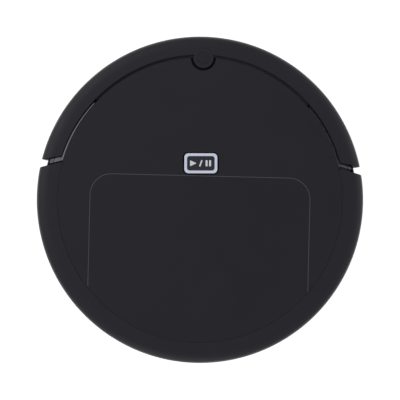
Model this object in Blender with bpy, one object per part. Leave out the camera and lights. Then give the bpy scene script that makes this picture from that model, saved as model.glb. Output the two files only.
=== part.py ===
"""Round robot vacuum cleaner, built at its real size.

Metres, +Z up. The floor is z = 0 and the origin is on it, under the centre of
the body. +Y is the direction of travel (the bumper's side), +X is the right.
Lengths in the constants are millimetres, and angles are degrees.
"""
import math

import bmesh
import bpy
from mathutils import Matrix, Vector

MM = 0.001
MERGE = 1e-7
FIT = 0.4            # usual gap between neighbouring pieces
RUN = 0.35           # radial clearance of a shaft in its bore
OVERLAP = 0.01       # how far apart two faces are kept where joined shapes would share a plane

# Body
R_BODY = 140.0
R_COVER = 121.9
R_RIM = R_COVER + FIT
R_BUMPER_INNER = 124.3
COVER_TOP = 75.0
RIM_TOP = 74.6
WALL = 2.2
DECK_TOP = 68.0
DECK_R = 121.6
PLATE_LOW = 9.0
PLATE_TOP = 12.0
PLATE_R = 134.0
FRONT_WALL_R = 130.0
STEPS_ROUND = 96

# Section of the shells: shoulder outside and inside, and the lower edge as (radius, height above its end)
SHOULDER_OUT = [(133.5, RIM_TOP), (137.2, 73.4), (139.3, 70.9), (R_BODY, 67.5)]
SHOULDER_IN = [(137.6, 66.8), (136.9, 69.6), (135.2, 71.6), (132.8, RIM_TOP - WALL)]
LOWER_EDGE = [(R_BODY, 4.5), (138.4, 0.0), (136.6, 0.0), (137.6, 5.0)]
BUMPER_LOW = 14.5
REAR_LOW = 12.6
REAR_LIP_LOW = 69.0
LIP_THICK = 2.3
COVER_BEVEL = 0.7
SKIRT_THICK = 2.1

# Heights that a cut passes through: the cover and shells' tops, and the bottom plate
THROUGH_TOP = (60.0, 90.0)
THROUGH_PLATE = (0.0, 20.0)

# Ends of the bumper and of the rear shell: (radius, angle above the X axis) of both corners
BUMPER_END = ((140.0, 12.9), (124.3, 16.1))
REAR_END = ((140.0, 10.1), (122.2, 14.1))
BUMPER_TRAVEL = 1.7

# Chassis behind the notches: wall, ledge, lip beside the cover, and guide for the bumper's end
WALL_END = 4.0
WALL_IN_R = 127.6
LEDGE_R = 128.6
LEDGE_END = 42.0
LIP_ARC = (14.6, 41.0)
LIP_TOP = 72.0
LIP_WIDTHS = (1.8, 0.6)
GUIDE_ARC = (10.0, 16.5)
GUIDE_SECTION = ((129.0, 12.5), (129.0, 67.0), (130.5, 67.0), (135.5, 62.0), (135.5, 12.5))

# Sensor tab on the bumper
TAB_Y = 121.1
TAB_R = 8.6
TAB_TOP = 75.0
TAB_GAP = BUMPER_TRAVEL + FIT
CAP_R = 5.2
CAP_TOP = 75.3
CAP_BEVEL = 0.6
CAP_FLANGE = 1.4
CAP_FLANGE_Z = (70.4, 72.0)

# Lid over the dust bin
LID_HALF = 93.8
LID_FRONT = 20.3
LID_CORNER = 18.0
LID_AXIS_Y = LID_FRONT + FIT / 2

# Start button
BUTTON_Y = 31.3
RING_SIZE = (28.8, 17.7)
RING_CORNER = 3.5
RING_THICK = 2.5
BUTTON_HOLE_GAP = 1.1
PANEL_CORNER = 1.8
PANEL_PLAY = 0.6
PANEL_LOW = 70.5
RING_LOW = 71.3
BUTTON_FLANGE_Z = (69.4, 71.0)
BUTTON_STEM_HALF = 3.0
BUTTON_STEM_Z = (65.6, 69.9)
BUTTON_SWITCH_HALF = 3.5
BUTTON_SWITCH_Z = (57.9, 63.0)
PLUNGER_R = 1.75
PLUNGER_TOP = 64.3

# Drive wheels
WHEEL_X = 95.0
WHEEL_R = 32.5
TYRE_WIDTH = 18.0
HUB_R = 26.6
AXLE_R = 3.0
ARM_X = (66.0, 83.6)
ARM_PIVOT_Y = 42.0
ARM_PIVOT_R = 6.5
ARM_AXLE_R = 13.0
PIVOT_PIN_R = 2.0
MOTOR_R = 11.0
MOTOR_X = (46.0, 65.6)
MOTOR_Y = 20.0
AXLE_X = (68.0, 103.0)
PIN_X = (61.0, 88.5)
WELL_X = (63.5, 108.0)
WELL_Y = (-36.0, 37.0)
LUG_X = ((61.5, 64.9), (84.2, 87.6))
LUG_Y = (38.0, 48.0)
LUG_Z = (11.0, 38.0)
HUB_FACE = 7.0
HUB_BOSS_R = 9.0
HUB_DISH = 5.0
HUB_DISH_R = (21.0, 24.0)
WHEEL_SPRING_Y = 10.0
WHEEL_SPRING_Z = (46.4, 64.6)

# Front caster
CASTER_Y = 95.0
CASTER_TRAIL = 5.0
CASTER_R = 12.5
CASTER_HALF = 7.0
CASTER_HOLE_R = 20.5
CASTER_AXLE_R = 1.5
CASTER_BEVEL = 1.5
CASTER_STEM_R = 4.0
CASTER_PIVOT_Z = 27.0
CHEEK_X = (7.6, 10.2)
CHEEK_Y = (-5.0, 7.0)
CHEEK_Z = (8.0, 26.6)

# Side brushes
BRUSH_R = 105.0
BRUSH_ANGLES = {"right": 45.0, "left": 135.0}
BRUSH_ARM = 45.0
BRUSH_ARMS = 3
BRUSH_ORIGIN_Z = 5.0
BRUSH_SHAFT_R = 3.0
BRUSH_HOLE_R = 5.0
ARM_ROOT = (6.0, 3.5)
ARM_TIP_HALF = (2.0, 1.6)
ARM_Z = (1.4, 3.2)
ARM_DROOP = 2.4
BRUSH_SCREW = (2.7, 1.2, (2.4, 3.7, 10.0))
BRUSH_MOTOR_BOX = ((83.0, 117.0), (-11.0, 11.0), (13.0, 38.0))

# Dust bin, its bay, filter and nozzle
BAY_X = 60.5
BAY_Y = (-100.5, -39.5)
BAY_WALL = 2.0
BIN_X = 59.5
BIN_Y = (-99.5, -41.5)
BIN_Z = (16.0, 64.0)
BIN_WALL = 2.0
INLET_X = 30.0
INLET_Y = (-67.0, -56.0)
WINDOW_X = 28.0
WINDOW_Z = (28.0, 56.0)
WINDOW_GAP = 2.0
BAY_LOW = 13.2
NOZZLE_X = 45.6
NOZZLE_Y = (-71.6, -50.4)
NOZZLE_WALL = 3.6
NOZZLE_Z = (5.0, 15.5)
FLAP_AXIS = (-54.6, 19.4)
FLAP_R = 1.0
FLAP_X = (-31.5, 31.5)
FLAP_BACK_Y = -69.0
FLAP_Z = (18.4, 19.6)
BIN_LID_THICK = 2.0
BIN_LID_GAP = 0.3
FILTER_X = 32.0
FILTER_BACK_Y = -50.5
FILTER_Z = (24.0, 60.0)
SQUEEGEE = ((-44.0, 44.0), (-75.2, -73.4), (1.2, PLATE_LOW - 0.3))

# Fan
FAN_Y = -4.0
FAN_R = 30.0
FAN_BLADES = 9
FAN_BLADE_R = 25.0
FAN_HUB_R = 7.0
BLADE_SWEEP = (12.0, 2.0)
FAN_WALL = 2.0
FAN_Z = (13.0, 52.0)
FAN_INTAKE = ((-20.0, 20.0), (28.0, 48.0))
FAN_MOTOR_Z = (38.0, 49.6)
IMPELLER_Z = (20.0, 36.4)
FAN_ORIGIN_Z = 28.0
SHAFT_R = 1.5
VENTS = 5
VENT_PITCH = 5.0
VENT_HALF = (14.0, 1.2)

# Battery and electronics
BATTERY_X = 37.0
BATTERY_Y = (42.5, 69.5)
BATTERY_Z = (13.0, 33.0)
COVER_X = 34.0
COVER_Y = (45.0, 67.0)
PCB_BOX = ((-46.0, 46.0), (8.0, 64.0), (56.0, 57.6))
SWITCH_ANGLE = -18.0
JACK_ANGLE = -32.0
SIDE_PARTS_Z = 35.0
SIDE_PARTS_OUT = 139.2
SWITCH_SLOT_HALF = (8.2, 5.8)
SWITCH_FRAME_HALF = (7.8, 5.4)
SWITCH_POCKET_HALF = (6.3, 3.6)
SWITCH_BACK = (126.0, 129.5)
ROCKER_SIDE = [(131.2, 0.8), (131.2, -0.8), (136.4, -5.2), (137.6, -5.2), (136.6, 0.0), (137.6, 5.2), (136.4, 5.2)]
ROCKER_PIVOT_R = 133.0
ROCKER_REST = -8.0
ROCKER_HALF = 3.1
JACK_HOLE_R = 6.0
JACK_PROFILE = [(0, 122), (5.6, 122), (5.6, SIDE_PARTS_OUT), (3.2, SIDE_PARTS_OUT), (3.2, 127), (1.0, 127),
                (1.0, 136), (0, 136)]
BUMPER_SWITCH_BOX = ((17.0, 27.0), (129.5, 132.0), (37.0, 43.0))
BUMPER_SPRING = (45.0, (123.9, 128.2), 40.0)
CLIFF_R = 122.5
CLIFF_ANGLES = {"right": 35.0, "centre": 90.0, "left": 145.0}
CLIFF_HALF = (6.0, 3.5)
CLIFF_WINDOW_TOP = 15.0

# Screws that hold the deck to the plate
SCREW_PLACES = {
    "front_right": (50.0, 100.0),
    "front_left": (-50.0, 100.0),
    "rear_right": (92.0, -70.0),
    "rear_left": (-92.0, -70.0),
}
SCREW_HEAD_R = 3.0
SCREW_R = 1.5
SCREW_Z = (9.4, 10.9, 23.0)
COUNTERBORE_TOP = 11.1
POST_R = 4.0
POST_LOW = PLATE_TOP + 0.3

# Name: (colour, roughness, metallic)
LOOKS = {
    "black_plastic": ((0.020, 0.020, 0.023), 0.50, 0.0),
    "dark_grey_plastic": ((0.060, 0.060, 0.064), 0.60, 0.0),
    "grey_plastic": ((0.130, 0.130, 0.135), 0.55, 0.0),
    "light_ring": ((0.560, 0.590, 0.690), 0.35, 0.0),
    "button_panel": ((0.030, 0.033, 0.045), 0.25, 0.0),
    "smoked_plastic": ((0.120, 0.110, 0.105), 0.20, 0.0),
    "rubber": ((0.030, 0.030, 0.030), 0.85, 0.0),
    "steel": ((0.600, 0.600, 0.600), 0.35, 1.0),
    "green_board": ((0.020, 0.140, 0.060), 0.50, 0.0),
    "filter_paper": ((0.750, 0.750, 0.720), 0.90, 0.0),
    "battery_wrap": ((0.040, 0.110, 0.300), 0.40, 0.0),
    "bristle": ((0.050, 0.050, 0.055), 0.70, 0.0),
}


def clear_scene():
    for thing in list(bpy.data.objects):
        bpy.data.objects.remove(thing, do_unlink=True)


def material(look):
    """The shared material for a look, made the first time it is asked for."""
    found = bpy.data.materials.get(look)
    if found:
        return found
    colour, roughness, metallic = LOOKS[look]
    made = bpy.data.materials.new(look)
    made.use_nodes = True
    shader = made.node_tree.nodes["Principled BSDF"]
    shader.inputs["Base Color"].default_value = (*colour, 1.0)
    shader.inputs["Roughness"].default_value = roughness
    shader.inputs["Metallic"].default_value = metallic
    return made


def add_piece(name, bm, look, origin=(0.0, 0.0, 0.0)):
    """Turn a bmesh in world millimetres into an object whose origin is given, in millimetres."""
    bmesh.ops.remove_doubles(bm, verts=bm.verts, dist=MERGE / MM)
    bmesh.ops.recalc_face_normals(bm, faces=bm.faces)
    bmesh.ops.translate(bm, verts=bm.verts, vec=-Vector(origin))
    bmesh.ops.scale(bm, verts=bm.verts, vec=(MM, MM, MM))
    mesh = bpy.data.meshes.new(name)
    bm.to_mesh(mesh)
    bm.free()
    mesh.shade_smooth()
    mesh.set_sharp_from_angle(angle=math.radians(30))
    mesh.materials.append(material(look))
    piece = bpy.data.objects.new(name, mesh)
    piece.location = Vector(origin) * MM
    bpy.context.scene.collection.objects.link(piece)
    return piece


def combine(piece, bm, operation):
    """Cut a bmesh out of a piece, or join it on, with a Boolean modifier."""
    count = len(piece.modifiers) + 1
    other = add_piece(f"{piece.name}_guide_{count}", bm, "steel")
    other.hide_render = True
    other.display_type = "WIRE"
    step = piece.modifiers.new(f"{operation.lower()}_{count}", "BOOLEAN")
    step.operation = operation
    step.solver = "EXACT"
    step.object = other


def cut(piece, *shapes):
    for bm in shapes:
        combine(piece, bm, "DIFFERENCE")


def join(piece, *shapes):
    for bm in shapes:
        combine(piece, bm, "UNION")


def prism(outline, low, high):
    """Solid with a flat outline of (x, y) points, between two heights."""
    bm = bmesh.new()
    face = bm.faces.new([bm.verts.new((x, y, low)) for x, y in outline])
    grown = bmesh.ops.extrude_face_region(bm, geom=[face])
    moved = [item for item in grown["geom"] if isinstance(item, bmesh.types.BMVert)]
    bmesh.ops.translate(bm, verts=moved, vec=(0, 0, high - low))
    return bm


def block(x, y, z):
    """Box between two values along each axis."""
    return prism([(x[0], y[0]), (x[1], y[0]), (x[1], y[1]), (x[0], y[1])], z[0], z[1])


def tapered(low_outline, high_outline, low, high):
    """Solid between two outlines with the same number of points."""
    bm = bmesh.new()
    bottom = [bm.verts.new((x, y, low)) for x, y in low_outline]
    top = [bm.verts.new((x, y, high)) for x, y in high_outline]
    bm.faces.new(bottom)
    bm.faces.new(top)
    for i in range(len(bottom)):
        j = (i + 1) % len(bottom)
        bm.faces.new((bottom[i], bottom[j], top[j], top[i]))
    return bm


def turned(profile, steps):
    """Solid turned about Z from (radius, height) points; ends on the axis become flat caps."""
    bm = bmesh.new()
    points = [(r, z) for r, z in profile if r > 0]
    capped = len(points) < len(profile)
    rings = []
    for k in range(steps):
        angle = math.tau * k / steps
        rings.append([bm.verts.new((r * math.cos(angle), r * math.sin(angle), z)) for r, z in points])
    for k in range(steps):
        a, b = rings[k], rings[(k + 1) % steps]
        for i in range(len(points) - capped):
            j = (i + 1) % len(points)
            bm.faces.new((a[i], a[j], b[j], b[i]))
    if capped:
        bm.faces.new([ring[0] for ring in rings])
        bm.faces.new([ring[-1] for ring in rings])
    return bm


def swept(profile, start, end, steps):
    """Arc of a section about Z, from start to end, which are angles in degrees by radius.

    The section is a list of (radius, height) points, or a function that gives one for
    each stage of the arc, from 0 to 1.
    """
    bm = bmesh.new()
    rings = []
    for k in range(steps + 1):
        stage = k / steps
        section = profile(stage) if callable(profile) else profile
        ring = []
        for r, z in section:
            angle = math.radians(start(r) + (end(r) - start(r)) * stage)
            ring.append(bm.verts.new((r * math.cos(angle), r * math.sin(angle), z)))
        rings.append(ring)
    for a, b in zip(rings, rings[1:]):
        for i in range(len(a)):
            j = (i + 1) % len(a)
            bm.faces.new((a[i], a[j], b[j], b[i]))
    bm.faces.new(rings[0])
    bm.faces.new(rings[-1])
    return bm


def moved(bm, offset=(0, 0, 0), turn=0.0, along_x=False):
    """Lay a shape's Z axis along +X if asked, turn it about Z, then shift it."""
    matrix = Matrix.Translation(offset) @ Matrix.Rotation(math.radians(turn), 4, "Z")
    if along_x:
        matrix = matrix @ Matrix.Rotation(math.radians(90), 4, "Y")
    bmesh.ops.transform(bm, matrix=matrix, verts=bm.verts)
    return bm


def rod(radius, low, high, steps=16):
    return turned([(0, high), (radius, high), (radius, low), (0, low)], steps)


def rod_x(radius, x, y, z, steps=16):
    """Round bar along X between two x values."""
    return moved(rod(radius, x[0], x[1], steps), (0, y, z), along_x=True)


def rod_z(radius, x, y, low, high, steps=16):
    return moved(rod(radius, low, high, steps), (x, y, 0))


def roller(section, steps, centre):
    """Wheel turned about X whose lowest facet lies flat; its facets touch the given radius."""
    stretch = 1 / math.cos(math.pi / steps)
    shape = turned([(r * stretch, x) for r, x in section], steps)
    return moved(moved(shape, turn=180 / steps), centre, along_x=True)


def rounded_rectangle(width, depth, corner, centre_y, steps=5):
    points = []
    for number, (sx, sy) in enumerate(((1, 1), (-1, 1), (-1, -1), (1, -1))):
        for k in range(steps + 1):
            angle = math.radians(90 * number + 90 * k / steps)
            x = sx * (width / 2 - corner) + corner * math.cos(angle)
            y = centre_y + sy * (depth / 2 - corner) + corner * math.sin(angle)
            points.append((x, y))
    return points


def hull_of_circles(y_a, r_a, y_b, r_b, z, steps=8):
    """Outline, as (y, z) points, of two circles on one height joined by their outer tangents."""
    lean = math.degrees(math.asin((r_a - r_b) / (y_b - y_a)))
    points = []
    for k in range(steps + 1):
        angle = math.radians(90 - lean + (180 + 2 * lean) * k / steps)
        points.append((y_a + r_a * math.cos(angle), z + r_a * math.sin(angle)))
    for k in range(steps + 1):
        angle = math.radians(270 + lean + (180 - 2 * lean) * k / steps)
        points.append((y_b + r_b * math.cos(angle), z + r_b * math.sin(angle)))
    return points


def end_angle(corners):
    """Function of radius: the angle at which a straight end face meets that radius."""
    (r_out, a_out), (r_in, a_in) = corners
    x_out, y_out = r_out * math.cos(math.radians(a_out)), r_out * math.sin(math.radians(a_out))
    x_in, y_in = r_in * math.cos(math.radians(a_in)), r_in * math.sin(math.radians(a_in))
    slope = (y_out - y_in) / (x_out - x_in)
    lean = math.atan(slope)
    offset = (y_in - slope * x_in) * math.cos(lean)
    return lambda r: math.degrees(lean + math.asin(offset / r))


def both_sides(make):
    """Call a maker for the right side (+1) and the left side (-1)."""
    for side, sign in (("right", 1), ("left", -1)):
        make(side, sign)


def sorted_pair(a, b):
    return (min(a, b), max(a, b))


# ---------------------------------------------------------------- body shells

def rim_profile(inner, bottom, lip_low=None):
    """Section of the outer shells: rounded shoulder, upright wall and an optional inner lip."""
    under = RIM_TOP - WALL
    section = [(inner, RIM_TOP)] + SHOULDER_OUT + [(r, bottom + z) for r, z in LOWER_EDGE] + SHOULDER_IN
    if lip_low:
        return section + [(inner + LIP_THICK, under), (inner + LIP_THICK, lip_low), (inner, lip_low)]
    return section + [(inner, under)]


def make_rear_shell():
    end = end_angle(REAR_END)
    profile = rim_profile(R_RIM, REAR_LOW, REAR_LIP_LOW)
    shell = add_piece("rear_shell", swept(profile, lambda r: 180 - end(r), lambda r: 360 + end(r), 52),
                      "black_plastic")
    slot = side_box((WALL_IN_R, R_BODY + 10), SWITCH_SLOT_HALF)
    hole = moved(rod_x(JACK_HOLE_R, (WALL_IN_R, R_BODY + 10), 0, SIDE_PARTS_Z, 20), turn=JACK_ANGLE)
    cut(shell, slot, hole)


def side_box(reach, half):
    """Box set radially in the side at the power switch, from its reach, half width and half height."""
    box = block(reach, (-half[0], half[0]), (SIDE_PARTS_Z - half[1], SIDE_PARTS_Z + half[1]))
    return moved(box, turn=SWITCH_ANGLE)


def make_top_cover():
    under = COVER_TOP - WALL
    skirt = DECK_TOP + FIT
    inside = R_COVER - SKIRT_THICK
    profile = [(0, COVER_TOP), (R_COVER - COVER_BEVEL, COVER_TOP), (R_COVER, COVER_TOP - COVER_BEVEL),
               (R_COVER, skirt), (inside, skirt), (inside, under), (0, under)]
    cover = add_piece("top_cover", turned(profile, STEPS_ROUND), "black_plastic")
    ring_hole = rounded_rectangle(RING_SIZE[0] + 2 * BUTTON_HOLE_GAP, RING_SIZE[1] + 2 * BUTTON_HOLE_GAP,
                                  RING_CORNER + BUTTON_HOLE_GAP, BUTTON_Y)
    cut(cover,
        prism(lid_outline(FIT, -R_BODY), *THROUGH_TOP),
        prism(ring_hole, *THROUGH_TOP),
        rod_z(TAB_R + TAB_GAP, 0, TAB_Y, *THROUGH_TOP, 40))


def lid_outline(grow, rear):
    """Lid outline with rounded front corners, run straight back to a given y."""
    half, front = LID_HALF + grow, LID_FRONT + grow
    points = [(-half, rear), (half, rear)]
    for sx, start in ((1, 0), (-1, 90)):
        for k in range(9):
            angle = math.radians(start + 90 * k / 8)
            points.append((sx * (half - LID_CORNER) + LID_CORNER * math.cos(angle),
                           front - LID_CORNER + LID_CORNER * math.sin(angle)))
    return points


def make_dust_lid():
    """Lid whose rear edge follows the cover's edge; it folds about its front edge."""
    corner = math.degrees(math.acos(LID_HALF / R_COVER))
    rear = []
    for k in range(31):
        angle = math.radians(180 + corner + (180 - 2 * corner) * k / 30)
        rear.append((R_COVER * math.cos(angle), R_COVER * math.sin(angle)))
    front = lid_outline(0.0, 0.0)[2:]
    origin = (0, LID_AXIS_Y, COVER_TOP)
    add_piece("dust_lid", prism(rear + front, COVER_TOP - WALL, COVER_TOP), "black_plastic", origin)


def make_bumper():
    end = end_angle(BUMPER_END)
    profile = rim_profile(R_BUMPER_INNER, BUMPER_LOW)
    shell = add_piece("bumper_shell", swept(profile, end, lambda r: 180 - end(r), 40), "black_plastic")
    join(shell, rod_z(TAB_R, 0, TAB_Y, RIM_TOP - WALL + OVERLAP, TAB_TOP, 32))
    cut(shell, rod_z(CAP_R + FIT, 0, TAB_Y, *THROUGH_TOP, 24))
    flange_low, flange_top = CAP_FLANGE_Z
    profile = [(0, CAP_TOP), (CAP_R - CAP_BEVEL, CAP_TOP), (CAP_R, CAP_TOP - CAP_BEVEL), (CAP_R, flange_top),
               (CAP_R + CAP_FLANGE, flange_top), (CAP_R + CAP_FLANGE, flange_low), (0, flange_low)]
    add_piece("sensor_cap", moved(turned(profile, 24), (0, TAB_Y, 0)), "black_plastic")


# ---------------------------------------------------------------- chassis and deck

def screw_hole(x, y):
    """Through hole with a counterbore for the head, from under the plate."""
    bore, counterbore, top = SCREW_R + RUN, SCREW_HEAD_R + RUN, THROUGH_PLATE[1]
    profile = [(0, top), (bore, top), (bore, COUNTERBORE_TOP), (counterbore, COUNTERBORE_TOP), (counterbore, 0),
               (0, 0)]
    return moved(turned(profile, 12), (x, y, 0))


def make_chassis():
    """Bottom plate with the front wall, the parts seen in the notches, and the lugs of the wheel arms."""
    profile = [(0, PLATE_TOP), (PLATE_R, PLATE_TOP), (PLATE_R, 10.4), (PLATE_R - 2.5, PLATE_LOW), (0, PLATE_LOW)]
    base = add_piece("chassis_base", turned(profile, STEPS_ROUND), "grey_plastic")
    foot = PLATE_TOP - 1
    ledge_in = DECK_R + FIT
    wall = [(WALL_IN_R, foot), (FRONT_WALL_R, foot), (FRONT_WALL_R, DECK_TOP), (WALL_IN_R, DECK_TOP)]
    ledge = [(ledge_in, DECK_TOP), (LEDGE_R, DECK_TOP - OVERLAP), (LEDGE_R, DECK_TOP - WALL),
             (ledge_in, DECK_TOP - WALL)]
    join(base, arc(wall, WALL_END, 180 - WALL_END, 42))
    for mirrored in (False, True):
        join(base, arc(ledge, *side_arc(WALL_END + 0.5, LEDGE_END, mirrored), 12),
             arc(lip_section, *side_arc(*LIP_ARC, mirrored), 12),
             arc(GUIDE_SECTION, *side_arc(*GUIDE_ARC, mirrored), 3))
    for sign in (1, -1):
        for x in LUG_X:
            join(base, block(sorted_pair(sign * x[0], sign * x[1]), LUG_Y, LUG_Z))
    for sign in (1, -1):
        cut(base,
            block(sorted_pair(sign * WELL_X[0], sign * WELL_X[1]), WELL_Y, THROUGH_PLATE),
            rod_x(PIVOT_PIN_R + RUN, sorted_pair(sign * 55, sign * 100), ARM_PIVOT_Y, WHEEL_R))
    cut_plate_openings(base)


def cut_plate_openings(base):
    vent_x, vent_y = VENT_HALF
    first = FAN_Y - VENT_PITCH * (VENTS - 1) / 2
    cut(base,
        rod_z(CASTER_HOLE_R, 0, CASTER_Y, *THROUGH_PLATE, 32),
        block((-COVER_X, COVER_X), COVER_Y, THROUGH_PLATE),
        block((-NOZZLE_X - FIT, NOZZLE_X + FIT), (NOZZLE_Y[0] - FIT, NOZZLE_Y[1] + FIT), THROUGH_PLATE))
    for k in range(VENTS):
        y = first + VENT_PITCH * k
        cut(base, block((-vent_x, vent_x), (y - vent_y, y + vent_y), THROUGH_PLATE))
    for angle in BRUSH_ANGLES.values():
        cut(base, rod_z(BRUSH_HOLE_R, *polar(BRUSH_R, angle), *THROUGH_PLATE))
    for x, y in SCREW_PLACES.values():
        cut(base, screw_hole(x, y))
    for angle in CLIFF_ANGLES.values():
        cut(base, cliff_box(angle, 0.0, THROUGH_PLATE))


def cliff_box(angle, gap, heights):
    """Box at a cliff sensor's place, smaller all round by a gap."""
    half_x, half_y = CLIFF_HALF[0] - gap, CLIFF_HALF[1] - gap
    box = block((-half_x, half_x), (-half_y, half_y), heights)
    return moved(box, (*polar(CLIFF_R, angle), 0), angle - 90)


def arc(section, start, end, steps):
    """Swept arc whose ends are radial."""
    return swept(section, lambda r: start, lambda r: end, steps)


def side_arc(start, end, mirrored):
    """Angles of an arc on the right side, or of its mirror image on the left."""
    return (180 - start, 180 - end) if mirrored else (start, end)


def lip_section(stage):
    """Raised lip beside the cover: it narrows away from the notch."""
    inner = R_RIM
    outer = inner + LIP_WIDTHS[0] + (LIP_WIDTHS[1] - LIP_WIDTHS[0]) * stage
    return [(inner, LIP_TOP), (outer, LIP_TOP), (outer, DECK_TOP - 1), (inner, DECK_TOP - 1)]


def polar(radius, angle):
    return radius * math.cos(math.radians(angle)), radius * math.sin(math.radians(angle))


def make_cliff_sensors():
    for side, angle in CLIFF_ANGLES.items():
        window = cliff_box(angle, FIT, (PLATE_LOW + 0.3, CLIFF_WINDOW_TOP))
        add_piece(f"cliff_sensor_{side}", window, "smoked_plastic")


def make_deck():
    """Middle cover: a round plate with the bin bay's walls and four hollow posts under it."""
    low = DECK_TOP - WALL
    joined = low + 0.7
    deck = add_piece("inner_deck", rod(DECK_R, low, DECK_TOP, STEPS_ROUND), "dark_grey_plastic")
    join(deck, block((-BAY_X - BAY_WALL, BAY_X + BAY_WALL), (BAY_Y[0] - BAY_WALL, BAY_Y[1] + BAY_WALL),
                     (BAY_LOW, joined)))
    for x, y in SCREW_PLACES.values():
        join(deck, rod_z(POST_R, x, y, POST_LOW, joined, 12))
    window_x = WINDOW_X + WINDOW_GAP
    window_z = (WINDOW_Z[0] - WINDOW_GAP, WINDOW_Z[1] + WINDOW_GAP)
    stem_hole = BUTTON_STEM_HALF + 2
    cut(deck,
        block((-BAY_X, BAY_X), BAY_Y, (0, 80)),
        block((-window_x, window_x), (BAY_Y[1] - 1, BAY_Y[1] + 5), window_z),
        block((-stem_hole, stem_hole), (BUTTON_Y - stem_hole, BUTTON_Y + stem_hole), THROUGH_TOP))
    for x, y in SCREW_PLACES.values():
        cut(deck, rod_z(SCREW_R + RUN, x, y, 0, SCREW_Z[2] + 1, 12))


def make_screws():
    for place, (x, y) in SCREW_PLACES.items():
        add_piece(f"chassis_screw_{place}", screw(x, y, SCREW_HEAD_R, SCREW_R, SCREW_Z), "steel")


def screw(x, y, head, shank, heights):
    """Flat-headed screw, head downwards: heights of the head's face, its seat and the tip."""
    face, seat, tip = heights
    profile = [(0, tip), (shank, tip), (shank, seat), (head, seat), (head, face), (0, face)]
    return moved(turned(profile, 12), (x, y, 0))


# ---------------------------------------------------------------- button and electronics

def make_button():
    origin = (0, BUTTON_Y, COVER_TOP)
    width, depth = RING_SIZE
    inner_width, inner_depth = width - 2 * RING_THICK, depth - 2 * RING_THICK
    panel = rounded_rectangle(inner_width - PANEL_PLAY, inner_depth - PANEL_PLAY, PANEL_CORNER, BUTTON_Y)
    button = add_piece("start_button", prism(panel, PANEL_LOW, COVER_TOP), "button_panel", origin)
    flange = rounded_rectangle(width - PANEL_PLAY, depth - PANEL_PLAY, RING_CORNER - PANEL_PLAY / 2, BUTTON_Y)
    join(button, prism(flange, *BUTTON_FLANGE_Z), button_box(BUTTON_STEM_HALF, BUTTON_STEM_Z))
    outline = rounded_rectangle(width, depth, RING_CORNER, BUTTON_Y)
    ring = add_piece("button_light_ring", prism(outline, RING_LOW, CAP_TOP), "light_ring", origin)
    hole = rounded_rectangle(inner_width, inner_depth, PANEL_CORNER + PANEL_PLAY / 2, BUTTON_Y)
    cut(ring, prism(hole, *THROUGH_TOP))


def button_box(half, heights):
    """Square bar under the middle of the button."""
    return block((-half, half), (BUTTON_Y - half, BUTTON_Y + half), heights)


def make_electronics():
    add_piece("main_pcb", block(*PCB_BOX), "green_board")
    switch = add_piece("button_switch", button_box(BUTTON_SWITCH_HALF, BUTTON_SWITCH_Z), "steel")
    join(switch, rod_z(PLUNGER_R, 0, BUTTON_Y, BUTTON_SWITCH_Z[1] - 1, PLUNGER_TOP, 12))
    add_piece("battery_pack", block((-BATTERY_X, BATTERY_X), BATTERY_Y, BATTERY_Z), "battery_wrap")
    lid = block((-COVER_X + FIT, COVER_X - FIT), (COVER_Y[0] + FIT, COVER_Y[1] - FIT), (PLATE_LOW + 0.2, PLATE_TOP))
    add_piece("battery_cover", lid, "dark_grey_plastic")


def make_side_parts():
    """Power rocker with its frame, and the charging jack, set radially in the rear shell's side."""
    frame = add_piece("power_switch_frame", side_box((SWITCH_BACK[0], SIDE_PARTS_OUT), SWITCH_FRAME_HALF),
                      "dark_grey_plastic")
    cut(frame, side_box((SWITCH_BACK[1], R_BODY + 5), SWITCH_POCKET_HALF))
    outline = [(x - ROCKER_PIVOT_R, y) for x, y in ROCKER_SIDE]
    rocker = prism(outline, SIDE_PARTS_Z - ROCKER_HALF, SIDE_PARTS_Z + ROCKER_HALF)
    rocker = moved(moved(rocker, turn=ROCKER_REST), (ROCKER_PIVOT_R, 0, 0))
    origin = (*polar(ROCKER_PIVOT_R, SWITCH_ANGLE), SIDE_PARTS_Z)
    add_piece("power_rocker", moved(rocker, turn=SWITCH_ANGLE), "black_plastic", origin)
    jack = moved(turned(JACK_PROFILE, 20), (0, 0, SIDE_PARTS_Z), along_x=True)
    add_piece("charging_jack", moved(jack, turn=JACK_ANGLE), "dark_grey_plastic")


def make_bumper_switch(side, sign):
    (near, far), y, z = BUMPER_SWITCH_BOX
    add_piece(f"bumper_switch_{side}", block(sorted_pair(sign * near, sign * far), y, z), "dark_grey_plastic")


def spring(name, start, end, radius, wire, turns):
    """Coil as a curve with a round wire, between two points in millimetres."""
    curve = bpy.data.curves.new(name, "CURVE")
    curve.dimensions = "3D"
    curve.bevel_depth = wire * MM
    curve.bevel_resolution = 1
    curve.use_fill_caps = True
    per_turn = 10
    line = curve.splines.new("POLY")
    line.points.add(turns * per_turn)
    a, b = Vector(start), Vector(end)
    side = (b - a).normalized().orthogonal().normalized()
    other = (b - a).normalized().cross(side)
    for k, point in enumerate(line.points):
        angle = math.tau * k / per_turn
        place = a.lerp(b, k / (turns * per_turn)) + radius * (math.cos(angle) * side + math.sin(angle) * other)
        point.co = (*(place * MM), 1.0)
    piece = bpy.data.objects.new(name, curve)
    curve.materials.append(material("steel"))
    bpy.context.scene.collection.objects.link(piece)


def make_bumper_spring(side, sign):
    x, (back, front), z = BUMPER_SPRING
    spring(f"bumper_spring_{side}", (sign * x, back, z), (sign * x, front, z), 2.4, 0.35, 3)


# ---------------------------------------------------------------- dust path

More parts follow.
